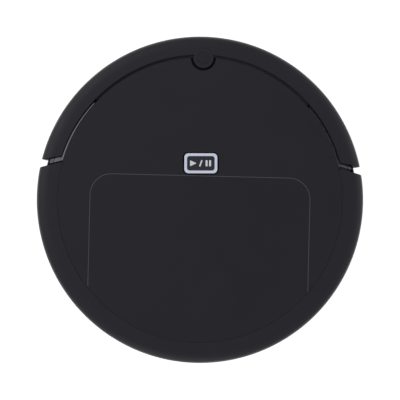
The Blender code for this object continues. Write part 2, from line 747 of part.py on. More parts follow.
def make_dust_bin():
    tub = add_piece("dust_bin", block((-BIN_X, BIN_X), BIN_Y, BIN_Z), "smoked_plastic")
    inside_x = BIN_X - BIN_WALL
    floor = BIN_Z[0] + BIN_WALL
    cut(tub,
        block((-inside_x, inside_x), (BIN_Y[0] + BIN_WALL, BIN_Y[1] - BIN_WALL), (floor, 80)),
        block((-INLET_X, INLET_X), INLET_Y, (10, floor + 2)),
        block((-WINDOW_X, WINDOW_X), (BIN_Y[1] - 2 * BIN_WALL, BIN_Y[1] + BIN_WALL), WINDOW_Z))
    lid_low = BIN_Z[1] + BIN_LID_GAP
    add_piece("bin_lid", block((-BIN_X, BIN_X), BIN_Y, (lid_low, lid_low + BIN_LID_THICK)), "dark_grey_plastic")
    filter_y = (FILTER_BACK_Y, BIN_Y[1] - BIN_WALL - FIT)
    add_piece("hepa_filter", block((-FILTER_X, FILTER_X), filter_y, FILTER_Z), "filter_paper")
    origin = (0, *FLAP_AXIS)
    flap = add_piece("inlet_flap", block(FLAP_X, (FLAP_BACK_Y, FLAP_AXIS[0]), FLAP_Z), "rubber", origin)
    join(flap, rod_x(FLAP_R, FLAP_X, *FLAP_AXIS, 12))


def make_nozzle():
    nozzle = add_piece("suction_nozzle", block((-NOZZLE_X, NOZZLE_X), NOZZLE_Y, NOZZLE_Z), "dark_grey_plastic")
    inner = NOZZLE_X - NOZZLE_WALL
    cut(nozzle, block((-inner, inner), (NOZZLE_Y[0] + NOZZLE_WALL, NOZZLE_Y[1] - NOZZLE_WALL), THROUGH_PLATE))
    add_piece("squeegee_blade", block(*SQUEEGEE), "rubber")


def make_fan():
    low, top = FAN_Z
    inside = FAN_R - FAN_WALL
    profile = [(0, top - FAN_WALL), (inside, top - FAN_WALL), (inside, low), (FAN_R, low), (FAN_R, top), (0, top)]
    housing = add_piece("fan_housing", moved(turned(profile, 40), (0, FAN_Y, 0)), "dark_grey_plastic")
    cut(housing, block(FAN_INTAKE[0], (FAN_Y - 40, FAN_Y - 10), FAN_INTAKE[1]))
    low, top = FAN_MOTOR_Z
    profile = [(0, top), (MOTOR_R, top), (MOTOR_R, low), (SHAFT_R, low), (SHAFT_R, low - 1.2), (0, low - 1.2)]
    add_piece("fan_motor", moved(turned(profile, 24), (0, FAN_Y, 0)), "steel")
    root, tip = BLADE_SWEEP
    outline = []
    for blade in range(FAN_BLADES):
        for r, shift in ((FAN_HUB_R, -root), (FAN_BLADE_R, -tip), (FAN_BLADE_R, tip), (FAN_HUB_R, root)):
            outline.append(polar(r, 360 * blade / FAN_BLADES + shift))
    impeller = moved(prism(outline, *IMPELLER_Z), (0, FAN_Y, 0))
    add_piece("fan_impeller", impeller, "dark_grey_plastic", (0, FAN_Y, FAN_ORIGIN_Z))


# ---------------------------------------------------------------- wheels

def make_drive_wheel(side, sign):
    arm_middle = sign * (ARM_X[0] + ARM_X[1]) / 2
    make_wheel_arm(side, sign, (arm_middle, ARM_PIVOT_Y, WHEEL_R))
    centre = (sign * WHEEL_X, 0, WHEEL_R)
    add_piece(f"wheel_axle_{side}", rod_x(AXLE_R, sorted_pair(sign * AXLE_X[0], sign * AXLE_X[1]), 0, WHEEL_R),
              "steel", centre)
    half = TYRE_WIDTH / 2
    bore = AXLE_R + RUN
    section = [(bore, HUB_FACE), (HUB_BOSS_R, HUB_FACE), (HUB_BOSS_R, HUB_DISH), (HUB_DISH_R[0], HUB_DISH),
               (HUB_DISH_R[1], half - 1), (HUB_R, half - 1), (HUB_R, 1 - half), (bore, 1 - half)]
    hub = moved(turned(section, 36), centre, 0 if sign > 0 else 180, along_x=True)
    add_piece(f"wheel_hub_{side}", hub, "dark_grey_plastic", centre)
    shoulder = WHEEL_R - 1
    tyre = [(HUB_R + FIT, half), (shoulder, half), (WHEEL_R, half - 1.5), (WHEEL_R, 1.5 - half),
            (shoulder, -half), (HUB_R + FIT, -half)]
    add_piece(f"wheel_tyre_{side}", roller(tyre, 48, centre), "rubber", centre)
    spring(f"wheel_spring_{side}", (arm_middle, WHEEL_SPRING_Y, WHEEL_SPRING_Z[0]),
           (arm_middle, WHEEL_SPRING_Y, WHEEL_SPRING_Z[1]), 4.0, 0.6, 5)


def make_wheel_arm(side, sign, pivot):
    """Swinging arm, the motor on its inner side, and the pin that it swings on."""
    outline = hull_of_circles(0, ARM_AXLE_R, ARM_PIVOT_Y, ARM_PIVOT_R, WHEEL_R)
    # The outline is drawn as (-z, y) so that laying Z along X brings it upright.
    arm_shape = moved(prism([(-z, y) for y, z in outline], *sorted_pair(sign * ARM_X[0], sign * ARM_X[1])),
                      along_x=True)
    arm = add_piece(f"wheel_arm_{side}", arm_shape, "dark_grey_plastic", pivot)
    bore_x = sorted_pair(sign * 55, sign * 95)
    cut(arm,
        rod_x(AXLE_R + RUN, bore_x, 0, WHEEL_R),
        rod_x(PIVOT_PIN_R + RUN, bore_x, ARM_PIVOT_Y, WHEEL_R))
    add_piece(f"wheel_motor_{side}", rod_x(MOTOR_R, sorted_pair(sign * MOTOR_X[0], sign * MOTOR_X[1]),
                                           MOTOR_Y, WHEEL_R, 24), "steel", pivot)
    add_piece(f"wheel_pivot_pin_{side}", rod_x(PIVOT_PIN_R, sorted_pair(sign * PIN_X[0], sign * PIN_X[1]),
                                               ARM_PIVOT_Y, WHEEL_R), "steel")


def make_caster():
    stem_bore = CASTER_STEM_R + RUN
    profile = [(21, 12.3), (23.2, 12.3), (23.2, 31), (8, 31), (8, 41), (stem_bore, 41), (stem_bore, 29), (21, 29)]
    add_piece("caster_socket", moved(turned(profile, 32), (0, CASTER_Y, 0)), "dark_grey_plastic")
    profile = [(0, 40), (CASTER_STEM_R, 40), (CASTER_STEM_R, 28.4), (18, 28.4), (18, 26), (0, 26)]
    pivot = (0, CASTER_Y, CASTER_PIVOT_Z)
    fork = add_piece("caster_fork", moved(turned(profile, 32), (0, CASTER_Y, 0)), "dark_grey_plastic", pivot)
    axle_y = CASTER_Y - CASTER_TRAIL
    for sign in (1, -1):
        join(fork, block(sorted_pair(sign * CHEEK_X[0], sign * CHEEK_X[1]),
                         (axle_y + CHEEK_Y[0], axle_y + CHEEK_Y[1]), CHEEK_Z))
    cut(fork, rod_x(CASTER_AXLE_R + RUN, (-15, 15), axle_y, CASTER_R, 12))
    add_piece("caster_axle", rod_x(CASTER_AXLE_R, (-CHEEK_X[1], CHEEK_X[1]), axle_y, CASTER_R, 12), "steel", pivot)
    bore, edge, side = CASTER_AXLE_R + RUN, CASTER_R - CASTER_BEVEL, CASTER_HALF - CASTER_BEVEL
    profile = [(bore, CASTER_HALF), (edge, CASTER_HALF), (CASTER_R, side), (CASTER_R, -side), (edge, -CASTER_HALF),
               (bore, -CASTER_HALF)]
    centre = (0, axle_y, CASTER_R)
    add_piece("caster_wheel", roller(profile, 32, centre), "rubber", centre)


# ---------------------------------------------------------------- side brushes

def bristle_arm(angle):
    """Flat tapered arm along +X, thin at its tip, turned to an angle."""
    (root, root_half), (low_half, high_half), top_reach = ARM_ROOT, ARM_TIP_HALF, BRUSH_ARM - 4
    bm = tapered([(root, -root_half), (BRUSH_ARM, -low_half), (BRUSH_ARM, low_half), (root, root_half)],
                 [(root, -root_half), (top_reach, -high_half), (top_reach, high_half), (root, root_half)], *ARM_Z)
    for vert in bm.verts:
        vert.co.z += ARM_DROOP * (1 - vert.co.x / BRUSH_ARM)
    return moved(bm, turn=angle)


def make_side_brush(side, angle):
    x, y = polar(BRUSH_R, angle)
    origin = (x, y, BRUSH_ORIGIN_Z)
    shaft = BRUSH_SHAFT_R
    profile = [(0, 11), (1.5, 11), (1.5, 4), (3.1, 4), (3.1, 2.2), (8, 2.2), (9, 3.2), (9, 8.4), (shaft, 8.4),
               (shaft, 20), (0, 20)]
    brush = add_piece(f"side_brush_{side}", moved(turned(profile, 24), (x, y, 0)), "bristle", origin)
    for k in range(BRUSH_ARMS):
        join(brush, moved(bristle_arm(angle + 180 + 360 * k / BRUSH_ARMS), (x, y, 0)))
    add_piece(f"side_brush_screw_{side}", screw(x, y, *BRUSH_SCREW), "steel", origin)
    motor = add_piece(f"side_brush_motor_{side}", moved(block(*BRUSH_MOTOR_BOX), turn=angle), "dark_grey_plastic")
    cut(motor, rod_z(shaft + FIT, x, y, 0, 21))


def main():
    clear_scene()
    make_rear_shell()
    make_top_cover()
    make_dust_lid()
    make_bumper()
    make_chassis()
    make_cliff_sensors()
    make_deck()
    make_screws()
    make_button()
    make_electronics()
    make_side_parts()
    both_sides(make_bumper_switch)
    both_sides(make_bumper_spring)
    make_dust_bin()
    make_nozzle()
    make_fan()
    both_sides(make_drive_wheel)
    make_caster()
    for side, angle in BRUSH_ANGLES.items():
        make_side_brush(side, angle)


main()
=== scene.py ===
"""Looks of the round robot vacuum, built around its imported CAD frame.

Shapes are drawn in millimetres in the CAD's own frame (floor at z = 0, +Y is the
direction of travel, +X is the right) and turned into metres when a piece is made.
"""
import math
import random

import bmesh
import bpy
from mathutils import Matrix, Vector, geometry


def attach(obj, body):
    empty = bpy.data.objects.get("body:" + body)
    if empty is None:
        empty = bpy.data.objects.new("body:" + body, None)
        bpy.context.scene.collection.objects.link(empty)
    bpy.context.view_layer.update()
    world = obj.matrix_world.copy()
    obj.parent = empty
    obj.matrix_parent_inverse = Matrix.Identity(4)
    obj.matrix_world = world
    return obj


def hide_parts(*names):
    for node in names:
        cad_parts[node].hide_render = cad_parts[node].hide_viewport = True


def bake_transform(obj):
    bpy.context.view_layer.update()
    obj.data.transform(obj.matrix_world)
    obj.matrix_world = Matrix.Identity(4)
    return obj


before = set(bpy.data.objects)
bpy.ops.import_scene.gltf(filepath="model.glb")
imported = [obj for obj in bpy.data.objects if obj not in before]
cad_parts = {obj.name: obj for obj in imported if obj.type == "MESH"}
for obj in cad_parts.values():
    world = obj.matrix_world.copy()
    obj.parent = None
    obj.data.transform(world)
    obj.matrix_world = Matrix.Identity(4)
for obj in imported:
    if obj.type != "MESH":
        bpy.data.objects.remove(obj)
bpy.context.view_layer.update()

MM = 0.001
MERGE = 1e-5
SHARP_ANGLE = 32.0
MITRE_LIMIT = 0.6
SAME_POINT = 0.001
TRIANGLES_INSIDE = 1

# Body
R_BODY = 140.0
R_COVER = 121.6
R_RIM = 121.85
R_BUMPER_INNER = 123.9
COVER_TOP = 75.0
SKIRT_LOW = 68.4
SKIRT_WALL = 2.1
RIM_TOP = 74.6
WALL = 2.2
COVER_UNDER = COVER_TOP - WALL
DECK_TOP = 68.0
PLATE_LOW = 9.0
PLATE_TOP = 12.0
PLATE_R = 134.0
BUMPER_END = ((140.0, 12.9), (124.3, 16.1))
REAR_END = ((140.0, 10.1), (122.2, 14.1))
BUMPER_LOW = 14.5
REAR_LOW = 12.6
ROUND_STEPS = 4

# Chassis parts that show in the notches beside the bumper and in the gap round the cover
LEDGE_TOP = {"right": 68.8, "left": 72.0}
LIP_TOP = {"right": 69.6, "left": 74.3}
LEDGE_RADII = ((122.5, 128.9, 0.0), (129.3, 132.6, 1.3))  # inner radius, outer radius, drop
LIP_ANGLES = (14.6, 41.0)
NOTCH_ANGLES = (9.4, 17.6)
FRONT_ANGLES = (42.6, 137.4)
WALL_ANGLES = (17.5, 162.5)
RIM_LIP_ANGLES = (167.0, 373.0)
BAR_EDGE = 0.3

# Shoulder of the shells: a soft squared arch outside and inside
SHOULDER = (126.5, 66.5)
SHOULDER_POWER = 3.0
SHOULDER_STEPS = 14
INNER_R = 137.6
SHELL_STEPS = 200
SHELL_END = 0.7

# Sensor tab
TAB_Y = 121.1
TAB_R = 8.6
TAB_TOP = 75.0
TAB_HOLE_R = 10.7
CAP_R = 5.2
CAP_TOP = 75.3
CAP_HOLE_R = 5.29

# Lid
LID_HALF = 93.8
LID_FRONT = 20.3
LID_CORNER = 18.0
LID_GAP = 0.4
LID_EDGE = 0.35
# Pale strip along the lid's seam: a painted highlight in place of light on the seam's rounded edges
SEAM_LIGHT_OUT = 0.36
SEAM_LIGHT_IN = 0.15
SEAM_LIGHT_DROP = 0.15
SEAM_LIGHT_SHORT = 0.6
COVER_EDGE = 0.22

# Start button
BUTTON_Y = 31.2
RING_SIZE = (28.2, 17.1)
RING_CORNER = 3.5
RING_THICK = 2.35
BUTTON_HOLE_GAP = 1.4
BUTTON_TWIST = 1.3

# Running gear
WHEEL_X = 95.0
WHEEL_R = 32.5
HUB_R = 26.6
AXLE_R = 3.0
WELL_X = (63.5, 108.0)
WELL_Y = (-36.0, 37.0)
WELL_CENTRES = [(sign * (WELL_X[0] + WELL_X[1]) / 2, (WELL_Y[0] + WELL_Y[1]) / 2) for sign in (1, -1)]
CASTER_Y = 95.0
CASTER_AXLE_Y = 90.0
CASTER_R = 12.5
BRUSH_R = 105.0
BRUSH_ANGLES = {"right": 45.0, "left": 135.0}
NOZZLE_X = 45.6
NOZZLE_Y = (-71.6, -50.4)
NOZZLE_MIDDLE = (0, (NOZZLE_Y[0] + NOZZLE_Y[1]) / 2)
SCREW_PLACES = {"front_right": (50.0, 100.0), "front_left": (-50.0, 100.0),
                "rear_right": (92.0, -70.0), "rear_left": (-92.0, -70.0)}
CLIFF_R = 122.5
CLIFF_ANGLES = {"right": 35.0, "centre": 90.0, "left": 145.0}
BATTERY_Y = 56.0
VENT_Y = (-14.0, 5.0, 5)  # first slot, pitch, count
UNDER_RIM_LOW = 8.1
UNDER_RIM_TOP = 9.5
RIB_LOW = 8.4
RIB_TOP = 9.4
SIDE_PARTS_Z = 35.0
SWITCH_ANGLE = -18.0
JACK_ANGLE = -32.0
ARM_X = (66.0, 83.6)
ARM_PIVOT_Y = 42.0
MOTOR_Y = 20.0
TREAD_LUGS = 30
SPOKES = 5
BRUSH_ARMS = 3
TUFT = 26
TUFT_FAN = 4.0
BRISTLE_ROOT = 15.0
BRISTLE_TIP = (41.0, 45.0)
BRISTLE_LOW = (0.9, 2.4)
BRISTLE_HIGH = (3.0, 4.6)
COIL_STEPS = 20

# Dust bin, bay and board tray
BIN_Y = -70.5
BAY_Y = -70.0
TRAY_Y = 36.0
LID_RIBS_Y = -34.0
FILTER_Y = (-50.5, -43.9)
PLEATS = 48

# Camera, above the body and square to it apart from a small turn, and floor
CAMERA_REACH = 1.5
FRAME_WIDTH = 0.3430
CAMERA_AIM = (0.00006, -0.00016)
SENSOR = 36.0
CAMERA_TURN = 1.4
FLOOR_HALF = 3000.0

# Seeded, so that each run draws the same bristles
chance = random.Random(7)


# ---------------------------------------------------------------- mesh helpers

def polar(radius, angle, centre=(0.0, 0.0)):
    turn = math.radians(angle)
    return centre[0] + radius * math.cos(turn), centre[1] + radius * math.sin(turn)


def arc_points(radius, start, end, steps, centre=(0.0, 0.0)):
    return [polar(radius, start + (end - start) * k / steps, centre) for k in range(steps + 1)]


def rounded_rectangle(width, depth, corner, centre=(0.0, 0.0), steps=7):
    points = []
    for number, (sx, sy) in enumerate(((1, 1), (-1, 1), (-1, -1), (1, -1))):
        middle = (centre[0] + sx * (width / 2 - corner), centre[1] + sy * (depth / 2 - corner))
        points += arc_points(corner, 90 * number, 90 * number + 90, steps, middle)
    return points


def is_left_turning(outline):
    area = 0.0
    for (x0, y0), (x1, y1) in zip(outline, outline[1:] + outline[:1]):
        area += x0 * y1 - x1 * y0
    return area > 0


def shrunk(outline, distance):
    """Move a closed outline to its left by a distance, with mitred corners."""
    points = []
    for i, here in enumerate(outline):
        before = (Vector(here) - Vector(outline[i - 1])).normalized()
        after = (Vector(outline[(i + 1) % len(outline)]) - Vector(here)).normalized()
        both = before + after
        left = Vector((-both.y, both.x))
        point = Vector(here) + left * (2 * distance / max(both.length_squared, MITRE_LIMIT))
        points.append((point.x, point.y))
    return points


def plate(outlines, low, high, rounding, hole_rounding=None, steps=3):
    """Flat solid between two heights with rounded edges: first its outline, then its holes."""
    bm = bmesh.new()
    tops, bottoms = [], []
    for number, drawn in enumerate(outlines):
        outline = [p for i, p in enumerate(drawn) if math.dist(p, drawn[i - 1]) > SAME_POINT]
        if is_left_turning(outline) != (number == 0):
            outline.reverse()
        reach = rounding if number == 0 or hole_rounding is None else hole_rounding
        levels = []
        for k in range(steps + 1 if reach else 1):
            turn = math.radians(90 * k / steps)
            inset = reach * (1 - math.sin(turn))
            drop = reach * (1 - math.cos(turn))
            levels.append((inset, high - drop))
        levels += [(inset, low + high - z) for inset, z in reversed(levels)]
        rings = [[bm.verts.new((x, y, z)) for x, y in shrunk(outline, inset)] for inset, z in levels]
        for a, b in zip(rings, rings[1:]):
            for i in range(len(a)):
                j = (i + 1) % len(a)
                bm.faces.new((a[i], b[i], b[j], a[j]))
        tops.append(rings[0])
        bottoms.append(rings[-1])
    fill(bm, tops)
    fill(bm, bottoms)
    return bm


def fill(bm, rings):
    """Close the flat area between an outer ring of vertices and its holes, which are convex."""
    verts, edges, owner = [], [], []
    for number, ring in enumerate(rings):
        first = len(verts)
        verts += ring
        owner += [number] * len(ring)
        edges += [(first + i, first + (i + 1) % len(ring)) for i in range(len(ring))]
    flat = [Vector((vert.co.x, vert.co.y)) for vert in verts]
    found = geometry.delaunay_2d_cdt(flat, edges, [], TRIANGLES_INSIDE, MERGE)
    for face in found[2]:
        corners = [found[3][i][0] for i in face]
        rings_met = {owner[i] for i in corners}
        if rings_met == {0} or len(rings_met) > 1:
            bm.faces.new([verts[i] for i in corners])


def moved(bm, offset=(0, 0, 0), turn=0.0, tilt=None):
    """Tilt a shape by (angle, axis) if asked, turn it about Z, then shift it."""
    matrix = Matrix.Translation(offset) @ Matrix.Rotation(math.radians(turn), 4, "Z")
    if tilt:
        matrix = matrix @ Matrix.Rotation(math.radians(tilt[0]), 4, tilt[1])
    bmesh.ops.transform(bm, matrix=matrix, verts=bm.verts)
    return bm


def along_x(bm, place=(0, 0, 0), side=1):
    """Lay a shape's Z axis along +X, or along -X on the left side, and put it in place."""
    return moved(bm, place, 0 if side > 0 else 180, (90, "Y"))


def turned(profile, steps):
    """Solid turned about Z from (radius, height) points; ends on the axis become flat caps."""
    bm = bmesh.new()
    points = [(r, z) for r, z in profile if r > 0]
    capped = len(points) < len(profile)
    rings = []
    for k in range(steps):
        rings.append([bm.verts.new((*polar(r, 360 * k / steps), z)) for r, z in points])
    for a, b in zip(rings, rings[1:] + rings[:1]):
        for i in range(len(points) - capped):
            j = (i + 1) % len(points)
            bm.faces.new((a[i], a[j], b[j], b[i]))
    if capped:
        bm.faces.new([ring[0] for ring in rings])
        bm.faces.new([ring[-1] for ring in rings])
    return bm


def softened(profile, radius, steps=3):
    """Round off the corners of a closed (radius, height) profile, apart from those on the axis."""
    points = []
    for i, here in enumerate(profile):
        before, after = profile[i - 1], profile[(i + 1) % len(profile)]
        if here[0] == 0:
            points.append(here)
            continue
        here_v, a, b = Vector(here), Vector(before), Vector(after)
        reach = min(radius, (a - here_v).length * 0.45, (b - here_v).length * 0.45)
        first = here_v + (a - here_v).normalized() * reach
        last = here_v + (b - here_v).normalized() * reach
        for k in range(steps + 1):
            t = k / steps
            point = first.lerp(here_v, t).lerp(here_v.lerp(last, t), t)
            points.append((point.x, point.y))
    return points


def swept(section, start, end, steps, rounding=0.0):
    """Arc of a section about Z, whose two ends are rounded over by shrinking the section.

    The section is a function of how far its faces move inwards. Start and end are
    functions of radius that give an angle in degrees.
    """
    length = math.radians(abs(end(R_BODY) - start(R_BODY))) * R_BODY
    places = [(k / steps, 0.0) for k in range(steps + 1)]
    if rounding:
        corner = []
        for k in range(ROUND_STEPS + 1):
            angle = math.radians(90 * k / ROUND_STEPS)
            corner.append((rounding * (1 - math.cos(angle)) / length, rounding * (1 - math.sin(angle))))
        inner = [place for place in places if corner[-1][0] < place[0] < 1 - corner[-1][0]]
        places = corner + inner + [(1 - stage, inset) for stage, inset in reversed(corner)]
    bm = bmesh.new()
    rings = []
    for stage, inset in places:
        rings.append([bm.verts.new((*polar(r, start(r) + (end(r) - start(r)) * stage), z))
                      for r, z in section(inset)])
    bridge(bm, rings)
    return bm


def bridge(bm, rings):
    """Skin closed rings of vertices one after the other, and cap both ends."""
    for a, b in zip(rings, rings[1:]):
        for i in range(len(a)):
            j = (i + 1) % len(a)
            bm.faces.new((a[i], a[j], b[j], b[i]))
    bm.faces.new(rings[0])
    bm.faces.new(rings[-1])


def tube(points, radii, sides=6, across=(0.0, 0.0, 1.0)):
    """Thin round bar along a line of points, with a radius at each; its line never runs along across."""
    bm = bmesh.new()
    rings = []
    for i, here in enumerate(points):
        along = Vector(points[min(i + 1, len(points) - 1)]) - Vector(points[max(i - 1, 0)])
        side = along.cross(Vector(across)).normalized()
        up = side.cross(along).normalized()
        ring = []
        for k in range(sides):
            turn = math.tau * k / sides
            ring.append(bm.verts.new(Vector(here) + radii[i] * (math.cos(turn) * side + math.sin(turn) * up)))
        rings.append(ring)
    bridge(bm, rings)
    return bm


def circle(radius, centre=(0.0, 0.0), steps=48):
    return arc_points(radius, 0, 360 - 360 / steps, steps - 1, centre)


def frame_plate(outer, inner, centre, low, high, rounding, hole_rounding=None):
    """Rectangular frame; its outline and its opening are each (width, depth, corner)."""
    outlines = [rounded_rectangle(*outer, centre), rounded_rectangle(*inner, centre)]
    return plate(outlines, low, high, rounding, hole_rounding)


def ring_plate(outer, inner, centre, steps, low, high, rounding):
    return plate([circle(outer, centre, steps), circle(inner, centre, steps)], low, high, rounding)


def rod(radius, low, high, rounding=0.3, steps=48):
    return turned(softened([(0, high), (radius, high), (radius, low), (0, low)], rounding), steps)


def hull_of_circles(r_a, y_b, r_b, steps=20):
    """Outline of a circle about the origin and a second one, joined by their outer tangents."""
    lean = math.degrees(math.asin((r_a - r_b) / y_b))
    first = arc_points(r_a, 90 - lean, 270 + lean, steps)
    return first + arc_points(r_b, 270 + lean, 450 - lean, steps, (y_b, 0))


def turned_outline(outline, angle, place):
    c, s = math.cos(math.radians(angle)), math.sin(math.radians(angle))
    return [(place[0] + x * c - y * s, place[1] + x * s + y * c) for x, y in outline]


def upright(outline):
    """Turn a (y, z) outline so that it stands up once its solid is laid along X."""
    return [(-z, y) for y, z in outline]


def block(x, y, z, rounding=0.3, segments=3):
    """Box between two values along each axis, with rounded edges all round."""
    bm = bmesh.new()
    bmesh.ops.create_cube(bm, size=1.0)
    size = (x[1] - x[0], y[1] - y[0], z[1] - z[0])
    bmesh.ops.scale(bm, verts=bm.verts, vec=size)
    reach = min(rounding, 0.4 * min(size))
    bmesh.ops.bevel(bm, geom=list(bm.edges), offset=reach, segments=segments, profile=0.5, affect="EDGES")
    return moved(bm, ((x[0] + x[1]) / 2, (y[0] + y[1]) / 2, (z[0] + z[1]) / 2))


def merged(*shapes):
    """One bmesh that holds several closed shapes."""
    whole = bmesh.new()
    for bm in shapes:
        mesh = bpy.data.meshes.new("part")
        bm.to_mesh(mesh)
        bm.free()
        whole.from_mesh(mesh)
        bpy.data.meshes.remove(mesh)
    return whole


def as_object(name, bm):
    bmesh.ops.recalc_face_normals(bm, faces=bm.faces)
    bmesh.ops.scale(bm, verts=bm.verts, vec=(MM, MM, MM))
    mesh = bpy.data.meshes.new(name)
    bm.to_mesh(mesh)
    bm.free()
    thing = bpy.data.objects.new(name, mesh)
    bpy.context.scene.collection.objects.link(thing)
    return thing


def combine(piece, bm, operation):
    """Cut a shape out of a piece, or join it on."""
    other = as_object("guide", bm)
    step = piece.modifiers.new("step", "BOOLEAN")
    step.operation = operation
    step.solver = "EXACT"
    step.object = other
    mesh = bpy.data.meshes.new_from_object(piece.evaluated_get(bpy.context.evaluated_depsgraph_get()))
    piece.modifiers.clear()
    piece.data = mesh
    bpy.data.objects.remove(other)


def soften_edges(piece, width):
    """Small bevel along the sharp edges."""
    bevel = piece.modifiers.new("edges", "BEVEL")
    bevel.width = width * MM
    bevel.segments = 2
    bevel.limit_method = "ANGLE"
    bevel.angle_limit = math.radians(SHARP_ANGLE)


def dress(piece, look, nodes=()):
    """Shading, material and replaced CAD nodes of a finished mesh."""
    piece.data.shade_smooth()
    piece.data.set_sharp_from_angle(angle=math.radians(SHARP_ANGLE))
    piece.data.materials.clear()
    piece.data.materials.append(LOOKS[look][0])
    if nodes:
        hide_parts(*nodes)


def finish_piece(piece, look, body, nodes=()):
    """Dress a rigid piece and let it ride a body."""
    dress(piece, look, nodes)
    shading = piece.modifiers.new("shading", "WEIGHTED_NORMAL")
    shading.keep_sharp = True
    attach(piece, body)


def add_piece(name, bm, look, body, nodes=()):
    finish_piece(as_object(name, bm), look, body, nodes)


# ---------------------------------------------------------------- materials

def node(tree, kind, **inputs):
    """Add a shader node and set its inputs by name, by value or by another node's output."""
    made = tree.nodes.new(kind)
    for name, value in inputs.items():
        socket = made.inputs[name.replace("_", " ")]
        if isinstance(value, bpy.types.NodeSocket):
            tree.links.new(value, socket)
        else:
            socket.default_value = value
    return made


def noise(tree, scale, detail=2.0, stretch=(1.0, 1.0, 1.0)):
    """Noise in the piece's own coordinates, so it moves with the piece."""
    place = tree.nodes.new("ShaderNodeTexCoord").outputs["Object"]
    if stretch != (1.0, 1.0, 1.0):
        place = node(tree, "ShaderNodeMapping", Vector=place, Scale=stretch).outputs["Vector"]
    return node(tree, "ShaderNodeTexNoise", Vector=place, Scale=scale, Detail=detail).outputs["Fac"]


def spread(tree, value, low, high, near=0.3, far=0.7):
    """Map a noise value onto a range."""
    made = node(tree, "ShaderNodeMapRange", Value=value)
    made.inputs["From Min"].default_value = near
    made.inputs["From Max"].default_value = far
    made.inputs["To Min"].default_value = low
    made.inputs["To Max"].default_value = high
    return made.outputs["Result"]


def blend_colours(tree, factor, dark, light):
    made = tree.nodes.new("ShaderNodeMix")
    made.data_type = "RGBA"
    tree.links.new(factor, made.inputs[0])
    made.inputs[6].default_value = (*dark, 1.0)
    made.inputs[7].default_value = (*light, 1.0)
    return made.outputs[2]


def start_material(name):
    made = bpy.data.materials.new(name)
    made.use_nodes = True
    return made, made.node_tree, made.node_tree.nodes["Principled BSDF"]


def feed(tree, shader, **values):
    """Link node outputs to a shader's inputs by name."""
    for name, value in values.items():
        tree.links.new(value, shader.inputs[name.replace("_", " ")])


def tinted(tree, value, colour, darker, lighter=1.0):
    """Colour that varies with a noise value between two multiples of itself."""
    dark, light = (tuple(c * factor for c in colour) for factor in (darker, lighter))
    return blend_colours(tree, spread(tree, value, 0.0, 1.0), dark, light)


def add_bump(tree, shader, height, strength, distance):
    bump = node(tree, "ShaderNodeBump", Height=height, Strength=strength, Distance=distance)
    feed(tree, shader, Normal=bump.outputs["Normal"])


def scaled(tree, value, factor):
    made = tree.nodes.new("ShaderNodeMath")
    made.operation = "MULTIPLY"
    tree.links.new(value, made.inputs[0])
    made.inputs[1].default_value = factor
    return made.outputs[0]


def moulded(name, colour, vary, roughness, grain, grain_scale=1500.0, specular=0.5):
    """Injection-moulded plastic: faint clouding, spark-eroded grain and uneven gloss."""
    made, tree, shader = start_material(name)
    speck = noise(tree, grain_scale, 1.0)
    both = node(tree, "ShaderNodeMath", Value=noise(tree, 22.0, 4.0))
    both.operation = "MULTIPLY_ADD"
    both.inputs[1].default_value = 0.6
    tree.links.new(scaled(tree, speck, 0.4), both.inputs[2])
    feed(tree, shader, Base_Color=tinted(tree, both.outputs[0], colour, 1 - vary, 1 + vary),
         Roughness=spread(tree, noise(tree, 60.0, 5.0), roughness - 0.05, roughness + 0.05))
    shader.inputs["Specular IOR Level"].default_value = specular
    add_bump(tree, shader, speck, grain, 0.00006)
    return made


def brushed_metal(name, colour, roughness):
    """Turned or drawn steel: fine streaks and a little tarnish."""
    made, tree, shader = start_material(name)
    streak = noise(tree, 900.0, 3.0, (0.15, 1.0, 1.0))
    feed(tree, shader, Base_Color=tinted(tree, noise(tree, 120.0, 4.0), colour, 0.72),
         Roughness=spread(tree, streak, roughness - 0.08, roughness + 0.1))
    shader.inputs["Metallic"].default_value = 1.0
    add_bump(tree, shader, streak, 0.15, 0.00004)
    return made


def circuit_board(name):
    """Green solder mask with copper tracks showing through as lighter bands."""
    made, tree, shader = start_material(name)
    place = tree.nodes.new("ShaderNodeTexCoord").outputs["Object"]
    tracks = node(tree, "ShaderNodeTexBrick", Vector=place, Scale=220.0, Mortar_Size=0.03,
                  Color1=(0.008, 0.085, 0.035, 1.0), Color2=(0.012, 0.110, 0.045, 1.0),
                  Mortar=(0.045, 0.210, 0.080, 1.0))
    feed(tree, shader, Base_Color=tracks.outputs["Color"],
         Roughness=spread(tree, noise(tree, 200.0), 0.3, 0.45))
    add_bump(tree, shader, tracks.outputs["Fac"], 0.3, 0.00005)
    return made


def smoked_clear(name, colour):
    """Tinted clear plastic with faint scuffs."""
    made, tree, shader = start_material(name)
    feed(tree, shader, Base_Color=tinted(tree, noise(tree, 40.0, 4.0), colour, 0.85),
         Roughness=spread(tree, noise(tree, 300.0, 4.0), 0.10, 0.24))
    shader.inputs["Transmission Weight"].default_value = 0.7
    add_bump(tree, shader, noise(tree, 700.0), 0.05, 0.00005)
    return made


def painted_glow(name, colour, vary, roughness, painted_glow_strength):
    """Milky light guide: pale plastic with painted glow, emission that brightens it in place of light from
    the lamps.
    """
    made, tree, shader = start_material(name)
    mixed = tinted(tree, noise(tree, 260.0, 3.0), colour, 1 - vary)
    feed(tree, shader, Base_Color=mixed, Emission_Color=mixed,
         Roughness=spread(tree, noise(tree, 500.0), roughness - 0.04, roughness + 0.04))
    shader.inputs["Emission Strength"].default_value = painted_glow_strength
    add_bump(tree, shader, noise(tree, 1200.0), 0.08, 0.00004)
    return made


def paper(name, colour):
    """Pleated filter paper: matt, fibrous and slightly soiled."""
    made, tree, shader = start_material(name)
    fibre = noise(tree, 1600.0, 4.0, (1.0, 1.0, 0.3))
    feed(tree, shader, Base_Color=tinted(tree, noise(tree, 45.0, 4.0), colour, 0.7),
         Roughness=spread(tree, fibre, 0.85, 1.0))
    add_bump(tree, shader, fibre, 0.4, 0.0001)
    return made


